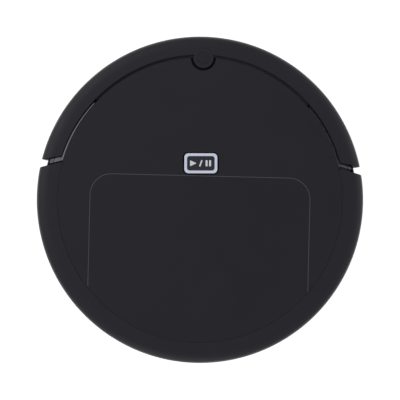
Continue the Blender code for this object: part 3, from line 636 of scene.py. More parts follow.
# Look: (material, the record's slot)
LOOKS = {
    "shell": (moulded("shell_plastic", (0.0120, 0.0103, 0.0190), 0.18, 0.46, 0.30), "black_shell"),
    "cover": (moulded("cover_plastic", (0.0092, 0.0078, 0.0158), 0.18, 0.50, 0.36, 1700.0), "black_shell"),
    "lid": (moulded("lid_plastic", (0.0084, 0.0071, 0.0146), 0.18, 0.50, 0.36, 1700.0), "black_shell"),
    "tab": (moulded("tab_plastic", (0.0100, 0.0086, 0.0165), 0.15, 0.42, 0.24, 1500.0), "black_shell"),
    "inner": (moulded("inner_plastic", (0.052, 0.052, 0.056), 0.22, 0.60, 0.45, 1100.0), "dark_plastic"),
    "deck": (moulded("deck_plastic", (0.014, 0.014, 0.018), 0.20, 0.60, 0.40, 1200.0), "dark_plastic"),
    "plate": (moulded("plate_plastic", (0.044, 0.044, 0.048), 0.25, 0.55, 0.50, 900.0), "chassis_grey"),
    "grey": (moulded("grey_plastic", (0.300, 0.295, 0.320), 0.12, 0.55, 0.35, 1100.0), "chassis_grey"),
    "gap": (moulded("gap_plastic", (0.052, 0.050, 0.060), 0.15, 0.60, 0.35, 1100.0), "dark_plastic"),
    # Ring and print carry painted glow: emission that brightens them without a lamp
    "ring": (painted_glow("ring_plastic_painted_glow", (0.60, 0.64, 0.78), 0.06, 0.35, 0.34), "light_ring"),
    "panel": (moulded("panel_plastic", (0.030, 0.033, 0.044), 0.12, 0.30, 0.10, 1300.0), "button_panel"),
    "print": (painted_glow("print_ink_painted_glow", (0.66, 0.68, 0.74), 0.08, 0.50, 0.30), "light_ring"),
    "smoked": (smoked_clear("smoked_clear", (0.20, 0.185, 0.175)), "smoked_plastic"),
    # Painted seam highlight: a pale strip in place of light on the lid seam's edges
    "seam_highlight": (moulded("seam_highlight_paint", (0.140, 0.138, 0.150), 0.20, 0.55, 0.30, 900.0), "soft_rubber"),
    "window": (moulded("window_plastic", (0.016, 0.008, 0.012), 0.20, 0.14, 0.06, 800.0), "sensor_window"),
    "rubber": (moulded("soft_rubber", (0.030, 0.030, 0.031), 0.25, 0.78, 0.60, 700.0, 0.3), "soft_rubber"),
    "tyre": (moulded("tyre_rubber", (0.036, 0.035, 0.035), 0.25, 0.82, 0.70, 600.0, 0.3), "tyre_rubber"),
    "steel": (brushed_metal("drawn_steel", (0.62, 0.61, 0.59), 0.32), "steel"),
    "board": (circuit_board("solder_mask"), "circuit_board"),
    "paper": (paper("filter_paper", (0.78, 0.78, 0.74)), "filter_paper"),
    "battery": (moulded("battery_wrap", (0.035, 0.095, 0.27), 0.12, 0.32, 0.15, 500.0), "battery_wrap"),
    "bristle": (moulded("bristle_nylon", (0.075, 0.073, 0.070), 0.30, 0.45, 0.20, 2500.0), "bristle"),
}


# ---------------------------------------------------------------- top of the body

def end_angle(corners):
    """Function of radius: the angle at which a straight end face meets that radius."""
    (x_out, y_out), (x_in, y_in) = (polar(r, angle) for r, angle in corners)
    slope = (y_out - y_in) / (x_out - x_in)
    lean = math.atan(slope)
    offset = (y_in - slope * x_in) * math.cos(lean)
    return lambda r: math.degrees(lean + math.asin(offset / r))


def arch(across, up, start, end):
    """Squared arch around the shoulder's centre, between two angles in degrees."""
    points = []
    for k in range(SHOULDER_STEPS + 1):
        turn = math.radians(start + (end - start) * k / SHOULDER_STEPS)
        power = 2 / SHOULDER_POWER
        points.append((SHOULDER[0] + across * abs(math.cos(turn)) ** power,
                       SHOULDER[1] + up * abs(math.sin(turn)) ** power))
    return points


def shell_section(inner, bottom, lip):
    """Section of a shell as a function of how far its faces move inwards."""
    edge = 0.3

    def section(inset):
        corner = (inner + inset + edge, RIM_TOP - inset - edge)
        points = arc_points(edge, 180, 90, 3, corner)
        points += arch(R_BODY - SHOULDER[0] - inset, RIM_TOP - SHOULDER[1] - inset, 90, 0)
        points += [polar_oval((R_BODY - 2.8, bottom + 4.5), 2.8 - inset, 4.5 - inset, -angle)
                   for angle in (0, 22.5, 45, 67.5, 90)]
        points += [(INNER_R - 0.9 + inset, bottom + inset), (INNER_R + inset, bottom + 5)]
        under = RIM_TOP - WALL + inset
        points += arch(INNER_R - SHOULDER[0] + inset, under - SHOULDER[1], 0, 90)
        if lip:
            thick = inner + 2.3 - inset
            points += [(thick, under), (thick, lip + inset), (inner + inset, lip + inset)]
        else:
            points.append((inner + inset, under))
        return points
    return section


def polar_oval(centre, across, up, angle):
    turn = math.radians(angle)
    return centre[0] + across * math.cos(turn), centre[1] + up * math.sin(turn)


def make_rear_shell():
    end = end_angle(REAR_END)
    section = shell_section(R_RIM, REAR_LOW, 69.0)
    bm = swept(section, lambda r: 180 - end(r), lambda r: 360 + end(r), SHELL_STEPS, SHELL_END)
    shell = as_object("rear_shell_moulding", bm)
    slot = plate([rounded_rectangle(16.4, 11.6, 1.6)], 120, 150, 0.0)
    combine(shell, side_cutter(slot, SWITCH_ANGLE), "DIFFERENCE")
    bore = turned([(0, 150), (6.0, 150), (6.0, 120), (0, 120)], 48)
    combine(shell, side_cutter(bore, JACK_ANGLE), "DIFFERENCE")
    finish_piece(shell, "shell", "main", ["rear_shell"])
    lip = fixed_bar(box_corners(R_COVER + 0.04, R_RIM + 0.4, 70.0, 74.5), RIM_LIP_ANGLES, 180, 0.1)
    add_piece("rim_lip", lip, "shell", "main")


def side_cutter(bm, angle):
    """Point a shape that is drawn along Z outwards through the shell's side, at the side parts' height."""
    moved(bm, tilt=(90, "Z"))
    moved(bm, (0, 0, SIDE_PARTS_Z), tilt=(90, "Y"))
    return moved(bm, turn=angle)


def make_bumper():
    end = end_angle(BUMPER_END)
    bm = swept(shell_section(R_BUMPER_INNER, BUMPER_LOW, 0), end, lambda r: 180 - end(r), SHELL_STEPS,
               SHELL_END)
    shell = as_object("bumper_moulding", bm)
    tab = softened([(0, TAB_TOP), (TAB_R, TAB_TOP), (TAB_R, 72.45), (0, 72.45)], 0.6, 4)
    combine(shell, moved(turned(tab, 96), (0, TAB_Y, 0)), "UNION")
    bore = turned([(0, 90), (CAP_HOLE_R, 90), (CAP_HOLE_R, 60), (0, 60)], 64)
    combine(shell, moved(bore, (0, TAB_Y, 0)), "DIFFERENCE")
    finish_piece(shell, "shell", "bumper", ["bumper_shell"])
    foot = CAP_R + 1.4
    cap = softened([(0, CAP_TOP), (CAP_R, CAP_TOP), (CAP_R, 72.0), (foot, 72.0), (foot, 70.4), (0, 70.4)],
                   0.3)
    ridge = block((-2.5, 2.5), (129.3, 130.1), (74.2, 74.9), 0.25)
    whole = merged(moved(turned(cap, 64), (0, TAB_Y, 0)), ridge)
    add_piece("sensor_cap_moulding", whole, "tab", "bumper", ["sensor_cap"])


def lid_corners(grow):
    """The lid's two front corners, moved outwards, from right to left."""
    half, front, corner = LID_HALF + grow, LID_FRONT + grow, LID_CORNER + grow
    points = arc_points(corner, 0, 90, 16, (half - corner, front - corner))
    return points + arc_points(corner, 90, 180, 16, (corner - half, front - corner))


def make_cover():
    tab_y = (R_COVER ** 2 + TAB_Y ** 2 - TAB_HOLE_R ** 2) / (2 * TAB_Y)
    tab_x = math.sqrt(R_COVER ** 2 - tab_y ** 2)
    meet = math.degrees(math.atan2(tab_y, tab_x))
    dip = math.degrees(math.asin((tab_y - TAB_Y) / TAB_HOLE_R))
    side = math.degrees(math.acos((LID_HALF + LID_GAP) / R_COVER))
    outline = arc_points(R_COVER, -side, meet, 110)
    outline += arc_points(TAB_HOLE_R, dip, -180 - dip, 40, (0, TAB_Y))
    outline += arc_points(R_COVER, 180 - meet, 180 + side, 110)
    outline += lid_corners(LID_GAP)[::-1]
    width, depth = (size + 2 * BUTTON_HOLE_GAP for size in RING_SIZE)
    button_hole = button_outline(width, depth - 0.5, RING_CORNER + BUTTON_HOLE_GAP)
    top = plate([outline, button_hole], COVER_UNDER, COVER_TOP, COVER_EDGE, 0.15)
    joint = COVER_UNDER + 0.3

    def skirt(inset):
        low, inner = SKIRT_LOW + inset, R_COVER - SKIRT_WALL + inset
        return [(R_COVER - inset, joint), (R_COVER - inset, low), (inner, low), (inner, joint)]

    turns = [(-side + 1, meet - 1), (181 - meet, 179 + side)]
    skirts = [swept(skirt, lambda r, a=a: a, lambda r, b=b: b, 90, 0.4) for a, b in turns]
    collar = plate([rounded_rectangle(34.4, 23.3, 6.0, (0, BUTTON_Y)), button_hole], 69.2, joint, 0.3)
    add_piece("cover_moulding", merged(top, *skirts, collar), "cover", "main", ["top_cover"])


def lid_edge(grow):
    """The lid's right side, front and left side, moved outwards."""
    half = LID_HALF + grow
    low = -math.sqrt((R_COVER - SEAM_LIGHT_SHORT) ** 2 - half ** 2)
    return [(half, low)] + lid_corners(grow) + [(-half, low)]


def make_lid():
    corner = math.degrees(math.acos(LID_HALF / R_COVER))
    outline = arc_points(R_COVER, 180 + corner, 360 - corner, 90) + lid_corners(0.0)
    lid = plate([outline], COVER_UNDER, COVER_TOP, LID_EDGE)
    add_piece("lid_moulding", lid, "lid", "dust_lid", ["dust_lid"])
    # The pale strip along the seam is a painted highlight of the seam's edges
    strip = lid_edge(SEAM_LIGHT_OUT) + lid_edge(-SEAM_LIGHT_IN)[::-1]
    add_piece("lid_seam_highlight", plate([strip], 73.4, COVER_TOP - SEAM_LIGHT_DROP, 0.05), "seam_highlight", "dust_lid")
    low, high = 70.6, COVER_UNDER + 0.2
    shapes = [frame_plate((168, 84, 10), (164.8, 80.8, 8.4), (0, LID_RIBS_Y), low, high, 0.3)]
    for x in (-54.0, -18.0, 18.0, 54.0):
        shapes.append(block((x - 0.7, x + 0.7), (-75.0, 7.0), (low + 0.3, high)))
    for y in (LID_RIBS_Y - 20, LID_RIBS_Y, LID_RIBS_Y + 20):
        shapes.append(block((-83.0, 83.0), (y - 0.7, y + 0.7), (low + 0.3, high)))
    add_piece("lid_ribs", merged(*shapes), "inner", "dust_lid")


def button_outline(width, depth, corner, shift=0.0):
    """Rounded rectangle about the button's centre, a little turned in its hole as assembled."""
    return turned_outline(rounded_rectangle(width, depth, corner, (shift, 0)), BUTTON_TWIST, (0, BUTTON_Y))


def make_button():
    width, depth = RING_SIZE
    inner = (width - 2 * RING_THICK, depth - 2 * RING_THICK)
    outlines = [button_outline(width, depth, RING_CORNER), button_outline(*inner, 2.1)]
    ring = plate(outlines, 71.3, CAP_TOP, 0.55)
    add_piece("button_ring_moulding", ring, "ring", "start_button", ["button_light_ring"])
    face = plate([button_outline(inner[0] - 0.6, inner[1] - 0.6, 1.8)], 70.5, COVER_TOP, 0.35)
    flange = plate([button_outline(width - 0.6, depth - 0.6, 3.2)], 69.4, 71.0, 0.2)
    stem = block((-3, 3), (BUTTON_Y - 3, BUTTON_Y + 3), (65.6, 69.9))
    add_piece("button_face", merged(face, flange, stem), "panel", "start_button", ["start_button"])
    arrow = turned_outline(rounded_triangle(-9.2, -3.7, 5.2, 0.5), BUTTON_TWIST, (0, BUTTON_Y))
    slash = turned_outline(rounded_rectangle(1.2, 5.8, 0.35), BUTTON_TWIST - 20, (0, BUTTON_Y))
    bars = [button_outline(1.7, 5.2, 0.35, x) for x in (4.9, 7.9)]
    marks = [plate([mark], COVER_TOP - 0.2, COVER_TOP + 0.07, 0.04) for mark in (arrow, slash, *bars)]
    add_piece("button_mark", merged(*marks), "print", "start_button")


def rounded_triangle(left, right, height, corner):
    """Triangle that points along +X, with rounded corners."""
    return softened([(left, -height / 2), (right, 0), (left, height / 2)], corner, 4)


# ---------------------------------------------------------------- chassis

def plain_section(corners):
    """Section function for a bar: its corners move towards its middle."""
    middle = Vector((sum(p[0] for p in corners), sum(p[1] for p in corners))) / len(corners)

    def section(inset):
        points = []
        for corner in corners:
            away = Vector(corner) - middle
            points.append(tuple(middle + away * max(0.1, 1 - inset / max(away.length, 0.1))))
        return points
    return section


def box_corners(low_r, high_r, low, high):
    return [(low_r, high), (high_r, high), (high_r, low), (low_r, low)]


def bar(corners, start, end, steps, rounding=BAR_EDGE):
    """Arc of a bar with softened edges; start and end are functions of radius."""
    return swept(plain_section(softened(corners, rounding, 2)), start, end, steps, BAR_EDGE)


def fixed_bar(corners, angles, steps, rounding=BAR_EDGE, mirror=False):
    """Arc of a bar between two angles, on the body's left side if mirrored."""
    start, end = (180 - angle if mirror else angle for angle in angles)
    return bar(corners, lambda r: start, lambda r: end, steps, rounding)


def make_chassis_wall():
    """Front wall of the chassis with the ledges, lips and guides that show in the notches."""
    shapes = [fixed_bar(box_corners(127.6, 130.0, 10, DECK_TOP), WALL_ANGLES, 150)]
    rear, front = end_angle(REAR_END), end_angle(BUMPER_END)
    ends = {"right": (lambda r: rear(r) + 0.95, lambda r: front(r) - 0.65),
            "left": (lambda r: 179.5 - rear(r), lambda r: 180.35 - front(r))}
    for side, top in LEDGE_TOP.items():
        for low_r, high_r, drop in LEDGE_RADII:
            shapes.append(bar(box_corners(low_r, high_r, 66.0, top - drop), *ends[side], 10))
    shapes += [tapering_lip(side, top) for side, top in LIP_TOP.items()]
    add_piece("chassis_wall", merged(*shapes), "grey", "main", ["chassis_base"])
    floors = [fixed_bar(box_corners(122.0, 127.2, 67.0, 70.2), FRONT_ANGLES, 90)]
    ledge = [(122.0, DECK_TOP), (128.6, DECK_TOP - 0.01), (128.6, 65.8), (122.0, 65.8)]
    guide = [(128.4, 66.4), (131.0, 66.4), (134.2, 63.0), (134.2, 13.0), (128.4, 13.0)]
    for mirror in (False, True):
        floors.append(fixed_bar(ledge, (4.5, 42.0), 40, mirror=mirror))
    for mirror in (False, True):
        floors.append(fixed_bar(guide, NOTCH_ANGLES, 8, 0.4, mirror))
    add_piece("gap_floor", merged(*floors), "gap", "main")
    fins = [fixed_bar(box_corners(132.8, 134.2, 60.0, top - 0.9), NOTCH_ANGLES, 8, mirror=side == "left")
            for side, top in LEDGE_TOP.items()]
    add_piece("notch_fins", merged(*fins), "deck", "main")


def tapering_lip(side, top):
    """Lip beside the cover that narrows away from the notch."""
    bm = bmesh.new()
    rings = []
    steps = 40
    for k in range(steps + 1):
        stage = k / steps
        angle = LIP_ANGLES[0] + (LIP_ANGLES[1] - LIP_ANGLES[0]) * stage
        angle = 180 - angle if side == "left" else angle
        outer = 123.2 - 0.6 * stage
        section = [(121.9, 67), (121.9, top - 0.2), (122.1, top), (outer - 0.2, top), (outer, top - 0.2),
                   (outer, 67)]
        rings.append([bm.verts.new((*polar(r, angle), z)) for r, z in section])
    bridge(bm, rings)
    return bm


def plate_openings():
    """Outlines of the holes in the underside plate."""
    well_size = (WELL_X[1] - WELL_X[0], WELL_Y[1] - WELL_Y[0], 3.0)
    holes = [rounded_rectangle(*well_size, centre) for centre in WELL_CENTRES]
    holes.append(arc_points(20.5, 0, 356, 80, (0, CASTER_Y)))
    holes.append(rounded_rectangle(68, 22, 1.5, (0, BATTERY_Y)))
    holes.append(rounded_rectangle(2 * NOZZLE_X + 0.8, NOZZLE_Y[1] - NOZZLE_Y[0] + 0.8, 2.0, NOZZLE_MIDDLE))
    first, pitch, count = VENT_Y
    holes += [rounded_rectangle(28, 2.4, 1.15, (0, first + pitch * k)) for k in range(count)]
    holes += [circle(5.0, polar(BRUSH_R, angle), 36) for angle in BRUSH_ANGLES.values()]
    holes += [circle(3.35, place, 36) for place in SCREW_PLACES.values()]
    for angle in CLIFF_ANGLES.values():
        holes.append(turned_outline(rounded_rectangle(12, 7, 0.8), angle - 90, polar(CLIFF_R, angle)))
    return holes


def plate_ribs():
    """Short straight ribs on the underside, and lugs that carry the wheel arms' pins."""
    ribs = []
    for x in (-38.0, 38.0):
        for k in range(4):
            ribs.append(block((x - 13, x + 13), (-30.0 + 7 * k, -28.6 + 7 * k), (RIB_LOW, RIB_TOP)))
    for angle in (200, 215, 230, 245, 295, 310, 325, 340):
        ribs.append(moved(block((98, 128), (-0.7, 0.7), (RIB_LOW, RIB_TOP)), turn=angle))
    for sign in (1, -1):
        for x in ((61.5, 64.9), (84.2, 87.6)):
            ribs.append(block(sorted((sign * x[0], sign * x[1])), (38, 48), (11, 38), 0.8))
    return ribs


def make_bottom_plate():
    """Underside plate with its cut-outs, raised rims, ribs and screw bosses."""
    shapes = [plate([circle(PLATE_R, steps=240)] + plate_openings(), PLATE_LOW, PLATE_TOP, 0.6)]
    frames = [((51.5, 80.0, 6.0), (46.5, 75.0, 4.0), centre, UNDER_RIM_LOW, 0.35) for centre in WELL_CENTRES]
    frames.append(((78, 32, 4.0), (73, 27, 2.0), (0, BATTERY_Y), UNDER_RIM_LOW + 0.2, 0.3))
    frames.append(((104, 38, 6.0), (99, 33, 4.0), (0, -62.5), UNDER_RIM_LOW, 0.35))
    for outer, inner, centre, low, rounding in frames:
        shapes.append(frame_plate(outer, inner, centre, low, UNDER_RIM_TOP, rounding))
    rings = [(24.5, 21.3, (0, CASTER_Y), 72, UNDER_RIM_LOW, 0.35)]
    rings += [(13.5, 11.0, polar(BRUSH_R, angle), 45, UNDER_RIM_LOW, 0.35) for angle in BRUSH_ANGLES.values()]
    rings += [(6.4, 4.6, place, 36, RIB_LOW, 0.3) for place in SCREW_PLACES.values()]
    for outer, inner, centre, steps, low, rounding in rings:
        shapes.append(ring_plate(outer, inner, centre, steps, low, UNDER_RIM_TOP, rounding))
    shapes.append(ring_plate(131.0, 129.2, (0, 0), 240, UNDER_RIM_LOW + 0.1, RIB_TOP, 0.3))
    add_piece("bottom_plate", merged(*shapes, *plate_ribs()), "plate", "main")


def make_board_tray():
    """Tray under the circuit board, which keeps the wheel wells' dust away from it."""
    outline, centre = (96.0, 60.0, 2.0), (0, TRAY_Y)
    floor = plate([rounded_rectangle(*outline, centre)], 54.6, 55.6, 0.3)
    rim = frame_plate(outline, (93.4, 57.4, 0.8), centre, 55.4, 58.4, 0.3)
    add_piece("board_tray", merged(floor, rim), "deck", "main")


# ---------------------------------------------------------------- running gear

def make_wheel(side, sign):
    body, centre = f"wheel_{side}", (sign * WHEEL_X, 0, WHEEL_R)
    bead = HUB_R + 0.4
    carcass = softened([(bead, 9), (30.2, 9), (31.3, 7.8), (31.3, -7.8), (30.2, -9), (bead, -9)], 0.5)
    tyre = [turned(carcass, 96)]
    for k in range(TREAD_LUGS):
        for half in (1, -1):
            tyre.append(moved(tread_lug(half), turn=360 * k / TREAD_LUGS))
    add_piece(f"tread_{side}", along_x(merged(*tyre), centre, sign), "tyre", body, [f"wheel_tyre_{side}"])
    rim = softened([(22.0, 4.0), (24.2, 8.0), (26.6, 8.0), (26.6, -8.0), (24.4, -8.0), (22.0, -3.0)], 0.5)
    boss = softened([(3.35, 7.0), (8.4, 7.0), (9.2, 5.0), (9.2, -6.0), (3.35, -6.0)], 0.5)
    openings = [circle(4.4, polar(15.6, 360 * k / SPOKES), 32) for k in range(SPOKES)]
    disc = plate([circle(22.6, steps=72), circle(5.0)] + openings, 0.6, 2.8, 0.3)
    wheel = [turned(rim, 96), turned(boss, 48), disc]
    for k in range(SPOKES):
        wheel.append(moved(block((8.5, 22.6), (-1.3, 1.3), (2.4, 5.0), 0.4), turn=360 * (k + 0.5) / SPOKES))
    add_piece(f"rim_{side}", along_x(merged(*wheel), centre, sign), "grey", body, [f"wheel_hub_{side}"])
    axle = along_x(rod(AXLE_R, 68, 103, 0.5), (0, 0, WHEEL_R), sign)
    add_piece(f"axle_{side}", axle, "steel", body, [f"wheel_axle_{side}"])


def tread_lug(half):
    """Slanted rubber bar on one half of the tread, bent round the tyre."""
    bm = block((31.0, 32.45), (-1.5, 1.5), sorted((half * 0.5, half * 8.0)), 0.3, 1)
    for vert in bm.verts:
        radius = vert.co.x
        angle = (vert.co.y + 0.45 * abs(vert.co.z)) / WHEEL_R
        vert.co.x, vert.co.y = radius * math.cos(angle), radius * math.sin(angle)
    return bm


def make_wheel_arm(side, sign):
    body = f"wheel_arm_{side}"
    low, high = sorted((sign * ARM_X[0], sign * ARM_X[1]))
    bores = [circle(AXLE_R + 0.35, steps=32), circle(2.35, (0, ARM_PIVOT_Y), 32)]
    case = plate([upright(hull_of_circles(13.0, ARM_PIVOT_Y, 6.5))] + bores, low, high, 1.2, 0.3)
    outer, inner = sorted((sign * 83.4, sign * 83.9))
    lid_bores = [circle(4.2, steps=32), circle(3.0, (0, ARM_PIVOT_Y), 32)]
    lid = plate([upright(hull_of_circles(10.6, ARM_PIVOT_Y, 4.6))] + lid_bores, outer, inner, 0.2, 0.1)
    shapes = [along_x(bm, (0, 0, WHEEL_R)) for bm in (case, lid)]
    for k in range(3):
        x = sorted((sign * (69.5 + 4.2 * k), sign * (70.7 + 4.2 * k)))
        shapes.append(block(x, (4.0, 34.0), (21.0, 23.2), 0.4))
    add_piece(f"gearbox_{side}", merged(*shapes), "inner", body, [f"wheel_arm_{side}"])
    can = turned(softened([(0, 65.6), (11, 65.6), (11, 47.4), (9.4, 46), (0, 46)], 0.5), 64)
    add_piece(f"motor_can_{side}", along_x(can, (0, MOTOR_Y, WHEEL_R), sign), "steel", body,
              [f"wheel_motor_{side}"])
    pin = along_x(rod(2.0, 61, 88.5), (0, ARM_PIVOT_Y, WHEEL_R), sign)
    add_piece(f"arm_pin_{side}", pin, "steel", "main", [f"wheel_pivot_pin_{side}"])


def make_spring(name, ends, radius, wire, turns):
    """Coil between two points."""
    start, end = (Vector(point) for point in ends)
    axis = (end - start).normalized()
    side = axis.orthogonal().normalized()
    other = axis.cross(side)
    points = []
    for k in range(turns * COIL_STEPS + 1):
        turn = math.tau * k / COIL_STEPS
        middle = start.lerp(end, k / (turns * COIL_STEPS))
        points.append(middle + radius * (math.cos(turn) * side + math.sin(turn) * other))
    coil = as_object(f"{name}_coil", tube(points, [wire] * len(points), 8, axis))
    dress(coil, "steel", [name])
    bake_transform(coil)


def make_caster():
    cup = softened([(21, 12.3), (23.2, 12.3), (23.2, 31), (8, 31), (8, 41), (4.35, 41), (4.35, 29), (21, 29)],
                   0.4)
    add_piece("caster_cup", moved(turned(cup, 72), (0, CASTER_Y, 0)), "inner", "main", ["caster_socket"])
    disc = softened([(0, 40), (4, 40), (4, 28.4), (18, 28.4), (18, 26), (0, 26)], 0.5)
    shapes = [moved(turned(disc, 72), (0, CASTER_Y, 0))]
    cheek = [(97.0, 26.6), (85.0, 26.6)] + arc_points(4.6, 170, 350, 16, (CASTER_AXLE_Y, CASTER_R))
    for sign in (1, -1):
        low, high = sorted((sign * 7.6, sign * 10.2))
        bore = circle(1.85, (-CASTER_R, CASTER_AXLE_Y), 24)
        shapes.append(along_x(plate([upright(cheek), bore], low, high, 0.5, 0.2)))
    add_piece("caster_yoke", merged(*shapes), "inner", "caster_fork", ["caster_fork"])
    centre = (0, CASTER_AXLE_Y, CASTER_R)
    add_piece("caster_pin", along_x(rod(1.5, -10.2, 10.2), centre), "steel", "caster_fork", ["caster_axle"])
    tread = softened([(8.9, 6.4), (11.2, 7.0), (12.5, 5.6), (12.5, -5.6), (11.2, -7.0), (8.9, -6.4)], 0.5)
    core = softened([(1.85, 6.8), (3.4, 6.8), (4.0, 5.4), (8.0, 5.4), (8.8, 6.2), (8.8, -6.2), (8.0, -5.4),
                     (4.0, -5.4), (3.4, -6.8), (1.85, -6.8)], 0.3)
    add_piece("caster_tread", along_x(turned(tread, 96), centre), "rubber", "caster_wheel", ["caster_wheel"])
    add_piece("caster_core", along_x(turned(core, 72), centre), "grey", "caster_wheel")


def make_side_brush(side, angle):
    """Three-armed brush, parked with one arm towards the body's middle."""
    body = f"side_brush_{side}"
    centre = (*polar(BRUSH_R, angle), 0)
    hub = softened([(0, 11), (1.5, 11), (1.5, 4), (3.1, 4), (3.1, 2.2), (8, 2.2), (9, 3.2), (9, 8.4),
                    (3, 8.4), (3, 20), (0, 20)], 0.4)
    holders, tufts = [turned(hub, 64)], []
    for k in range(BRUSH_ARMS):
        heading = angle + 180 + 360 * k / BRUSH_ARMS
        holders.append(moved(block((6.5, 15.0), (-3.3, 3.3), (2.4, 6.2), 0.9), turn=heading))
        holders.append(moved(block((13.0, 17.5), (-2.4, 2.4), (2.5, 5.0), 0.8), turn=heading))
        tufts += [bristle(heading) for _ in range(TUFT)]
    add_piece(f"brush_hub_{side}", moved(merged(*holders), centre), "rubber", body, [f"side_brush_{side}"])
    add_piece(f"bristles_{side}", moved(merged(*tufts), centre), "bristle", body)
    make_screw(f"side_brush_screw_{side}", body, centre[:2], (2.7, 1.2), (2.4, 3.7, 10.0))


def bristle(heading):
    """One thin hair of a brush's tuft, leaning and drooping a little by chance."""
    lean = chance.uniform(-TUFT_FAN, TUFT_FAN)
    tip, low, high = (chance.uniform(*ends) for ends in (BRISTLE_TIP, BRISTLE_LOW, BRISTLE_HIGH))
    points, radii = [], []
    for k in range(6):
        stage = k / 5
        reach = BRISTLE_ROOT + (tip - BRISTLE_ROOT) * stage
        place = polar(reach, heading + lean * (1.9 - 0.9 * stage))
        points.append((*place, high - (high - low) * stage ** 1.5))
        radii.append(0.27 - 0.15 * stage)
    return tube(points, radii, 5)


def make_screw(name, body, place, radii, heights):
    """Round-headed screw, head downwards, with a cross recess."""
    (head, shank), (low, seat, top) = radii, heights
    profile = softened([(0, top), (shank, top), (shank, seat), (head, seat), (head, low), (0, low)], 0.35)
    screw = as_object(f"{name}_metal", moved(turned(profile, 40), (*place, 0)))
    for turn in (20, 110):
        slot = block((-0.62 * head, 0.62 * head), (-0.45, 0.45), (low - 1, low + 0.8), 0.05, 1)
        combine(screw, moved(slot, (*place, 0), turn), "DIFFERENCE")
    finish_piece(screw, "steel", body, [name])


# ---------------------------------------------------------------- underside and side fittings

def make_underside_fittings():
    for name, place in SCREW_PLACES.items():
        make_screw(f"chassis_screw_{name}", "main", place, (3.0, 1.5), (9.4, 10.9, 23.0))
    for side, angle in CLIFF_ANGLES.items():
        place = polar(CLIFF_R, angle)
        pane = turned_outline(rounded_rectangle(11.2, 6.2, 0.8), angle - 90, place)
        shapes = [plate([pane], 9.3, 15, 0.4)]
        for lens in turned_outline([(-2.7, 0.0), (2.7, 0.0)], angle - 90, place):
            shapes.append(moved(rod(1.6, 8.9, 9.8, 0.4, 32), (*lens, 0)))
        add_piece(f"cliff_window_{side}", merged(*shapes), "window", "main", [f"cliff_sensor_{side}"])
    make_battery_door()
    mouth = [frame_plate((91.2, 21.2, 4.0), (84.0, 14.0, 2.0), NOZZLE_MIDDLE, 5.0, 15.5, 0.8, 0.5),
             frame_plate((88.4, 18.4, 3.0), (85.6, 15.6, 2.4), NOZZLE_MIDDLE, 4.6, 5.6, 0.25, 0.2)]
    add_piece("nozzle_frame", merged(*mouth), "inner", "main", ["suction_nozzle"])
    blade = [block((-44, 44), (-75.2, -73.4), (3.0, 8.7), 0.3)]
    for x in range(-44, 44, 4):
        blade.append(block((x + 0.4, x + 3.6), (-75.1, -73.5), (1.2, 3.3), 0.3, 1))
    add_piece("squeegee", merged(*blade), "rubber", "main", ["squeegee_blade"])
    holder = [block((-46.5, 46.5), (-77.0, -75.4), (6.4, 9.4), 0.4)]
    holder += [block((x - 1.2, x + 1.2), (-78.6, -76.6), (6.6, 9.4), 0.4) for x in range(-40, 41, 16)]
    add_piece("squeegee_holder", merged(*holder), "plate", "main")


def make_battery_door():
    """Door with a grip, an arrow that points to its latch, and ribs at both ends."""
    door = [plate([rounded_rectangle(67.2, 21.2, 1.2, (0, BATTERY_Y))], 9.2, 12, 0.5)]
    for k in range(4):
        door.append(block((-7, 7), (47.6 + 1.7 * k, 48.5 + 1.7 * k), (8.7, 9.5), 0.3))
    arrow = turned_outline(rounded_triangle(-2.0, 2.6, 5.0, 0.8), 90, (0, BATTERY_Y + 3.0))
    door.append(plate([arrow], 8.9, 9.5, 0.06))
    for x in (-25.0, 25.0):
        for k in range(3):
            door.append(block((x - 5, x + 5), (52.0 + 4 * k, 52.8 + 4 * k), (8.9, 9.5), 0.25))
    add_piece("battery_door", merged(*door), "plate", "main", ["battery_cover"])


def make_side_fittings():
    """Power switch and charging jack in the rear shell's side."""
    frame_block = block((126, 139.2), (-7.8, 7.8), (29.6, 40.4), 0.8)
    bezel = as_object("switch_bezel", moved(frame_block, turn=SWITCH_ANGLE))
    pocket = block((129.5, 145), (-6.3, 6.3), (31.4, 38.6), 0.5)
    combine(bezel, moved(pocket, turn=SWITCH_ANGLE), "DIFFERENCE")
    finish_piece(bezel, "inner", "main", ["power_switch_frame"])
    side = [(131.2, 0.8), (131.2, -0.8), (136.4, -5.2), (137.6, -5.2), (136.6, 0), (137.6, 5.2), (136.4, 5.2)]
    tilted = turned_outline([(x - 133.0, y) for x, y in side], -8, (133.0, 0))
    rocker = plate([turned_outline(tilted, SWITCH_ANGLE, (0, 0))], 31.9, 38.1, 0.3)
    add_piece("rocker_moulding", rocker, "tab", "power_rocker", ["power_rocker"])
    barrel = softened([(5.6, 122), (5.6, 139.2), (3.2, 139.2), (3.2, 127), (2.4, 127), (2.4, 122)], 0.35)
    jack = (("jack_barrel", turned(barrel, 64), "inner", ["charging_jack"]),
            ("jack_pin", rod(1.0, 122, 136, 0.4, 32), "steel", []),
            ("jack_floor", rod(2.6, 122, 127.4, 0.2, 32), "rubber", []))
    for name, bm, look, nodes in jack:
        add_piece(name, moved(along_x(bm, (0, 0, SIDE_PARTS_Z)), turn=JACK_ANGLE), look, "main", nodes)


# ---------------------------------------------------------------- dust bin and its bay

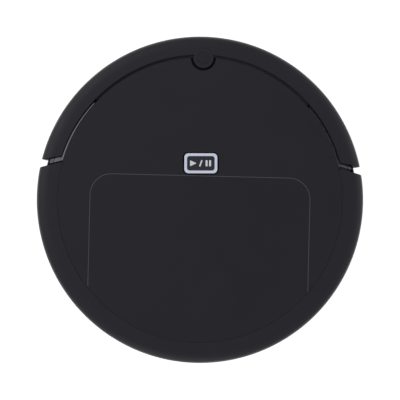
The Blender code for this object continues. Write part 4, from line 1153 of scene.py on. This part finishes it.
def make_bin():
    """Top of the dust bin, the rim of its bay, and its filter."""
    centre = (0, BIN_Y)
    top = [plate([rounded_rectangle(119, 58, 3.0, centre)], 64.3, 65.9, 0.4),
           frame_plate((114, 53, 4.0), (109, 48, 3.0), centre, 65.6, 66.5, 0.3)]
    for k in range(5):
        top.append(block((-13, 13), (-62.0 - 3 * k, -60.6 - 3 * k), (65.6, 66.5), 0.3))
    add_piece("bin_top", merged(*top), "inner", "main", ["bin_lid"])
    bay = frame_plate((131, 71, 5.0), (122, 62, 3.0), (0, BAY_Y), DECK_TOP - 0.3, 69.4, 0.4)
    add_piece("bay_rim", bay, "inner", "main")
    front, back, half, fold = -44.2, -50.2, 31.2, 1.6
    step = 2 * half / PLEATS
    zigzag = [(step * k - half, front if k % 2 else front - fold) for k in range(PLEATS + 1)]
    zigzag += [(half - step * k, back + fold if k % 2 else back) for k in range(PLEATS + 1)]
    add_piece("filter_pleats", plate([zigzag], 26.0, 58.0, 0.0), "paper", "main", ["hepa_filter"])
    sides = [block((-32, 32), FILTER_Y, z, 0.4) for z in ((24.0, 26.2), (57.8, 60.0))]
    sides += [block(x, FILTER_Y, (24.2, 59.8), 0.4) for x in ((-32.0, -30.6), (30.6, 32.0))]
    add_piece("filter_frame", merged(*sides), "inner", "main")


# ---------------------------------------------------------------- carried-over nodes

# Look: CAD nodes that keep their own shape, with the width of the bevel along their edges
CARRIED = {
    "deck": {"inner_deck": 0.3},
    "inner": {"fan_housing": 0.3, "fan_impeller": 0.25, "side_brush_motor_right": 0.8,
              "side_brush_motor_left": 0.8, "bumper_switch_right": 0.4, "bumper_switch_left": 0.4},
    "board": {"main_pcb": 0.15},
    "battery": {"battery_pack": 1.2},
    "steel": {"button_switch": 0.3, "fan_motor": 0.4},
    "smoked": {"dust_bin": 0.5},
    "rubber": {"inlet_flap": 0.2},
}


def dress_carried_nodes():
    for look, widths in CARRIED.items():
        for name, width in widths.items():
            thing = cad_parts[name]
            for holder in thing.material_slots:
                holder.link = "OBJECT"
                holder.material = LOOKS[look][0]
            soften_edges(thing, width)


# ---------------------------------------------------------------- floor, light and camera

def make_floor():
    bm = bmesh.new()
    bmesh.ops.create_grid(bm, x_segments=24, y_segments=24, size=FLOOR_HALF)
    floor = as_object("floor", bm)
    made, tree, shader = start_material("paper_floor")
    feed(tree, shader, Base_Color=blend_colours(tree, noise(tree, 3.0), (0.78,) * 3, (0.82,) * 3))
    shader.inputs["Roughness"].default_value = 0.9
    shader.inputs["Specular IOR Level"].default_value = 0.0
    shader.inputs["Emission Color"].default_value = (1.0, 1.0, 1.0, 1.0)
    shader.inputs["Emission Strength"].default_value = 0.80
    floor.data.materials.append(made)


def make_camera():
    data = bpy.data.cameras.new("camera")
    data.sensor_width = SENSOR
    data.lens = SENSOR * CAMERA_REACH / FRAME_WIDTH
    camera = bpy.data.objects.new("camera", data)
    camera.location = (*CAMERA_AIM, DECK_TOP * MM + CAMERA_REACH)
    camera.rotation_euler = (0, 0, math.radians(CAMERA_TURN))
    bpy.context.scene.collection.objects.link(camera)
    bpy.context.scene.camera = camera


def add_softbox(name, place, size, power):
    data = bpy.data.lights.new(name, "AREA")
    data.shape = "SQUARE"
    data.size = size
    data.energy = power
    lamp = bpy.data.objects.new(name, data)
    lamp.location = place
    lamp.rotation_euler = (-Vector(place)).to_track_quat("-Z", "Y").to_euler()
    bpy.context.scene.collection.objects.link(lamp)


def make_light():
    world = bpy.data.worlds.new("studio")
    bpy.context.scene.world = world
    world.use_nodes = True
    tree = world.node_tree
    place = tree.nodes.new("ShaderNodeTexCoord").outputs["Generated"]
    height = node(tree, "ShaderNodeSeparateXYZ", Vector=place).outputs["Z"]
    ramp = node(tree, "ShaderNodeValToRGB", Fac=height)
    stops = ((0.0, 0.42), (0.45, 0.42), (0.80, 0.37), (1.0, 0.32))
    for k, (place_on_ramp, grey) in enumerate(stops):
        stop = ramp.color_ramp.elements[k] if k < 2 else ramp.color_ramp.elements.new(place_on_ramp)
        stop.position = place_on_ramp
        stop.color = (grey, grey, grey, 1.0)
    background = tree.nodes["Background"]
    tree.links.new(ramp.outputs["Color"], background.inputs["Color"])
    background.inputs["Strength"].default_value = 1.0
    add_softbox("key_light", (-0.95, 0.55, 1.15), 1.3, 3.9)
    add_softbox("fill_light", (1.9, 0.4, 1.2), 1.4, 4.0)
    add_softbox("back_light", (-0.3, -2.0, 1.3), 1.4, 4.0)
    bpy.context.scene.view_settings.view_transform = "Standard"


make_rear_shell()
make_bumper()
make_cover()
make_lid()
make_button()
make_chassis_wall()
make_bottom_plate()
make_board_tray()
for side, sign in (("right", 1), ("left", -1)):
    make_wheel(side, sign)
    make_wheel_arm(side, sign)
    wheel_spring = ((sign * 74.8, 10.0, 64.6), (sign * 74.8, 10.0, 46.4))
    make_spring(f"wheel_spring_{side}", wheel_spring, 4.0, 0.6, 5)
    bumper_spring = ((sign * 45.0, 123.9, 40.0), (sign * 45.0, 128.2, 40.0))
    make_spring(f"bumper_spring_{side}", bumper_spring, 2.4, 0.35, 3)
    make_side_brush(side, BRUSH_ANGLES[side])
make_caster()
make_underside_fittings()
make_side_fittings()
make_bin()
dress_carried_nodes()
make_floor()
make_camera()
make_light()
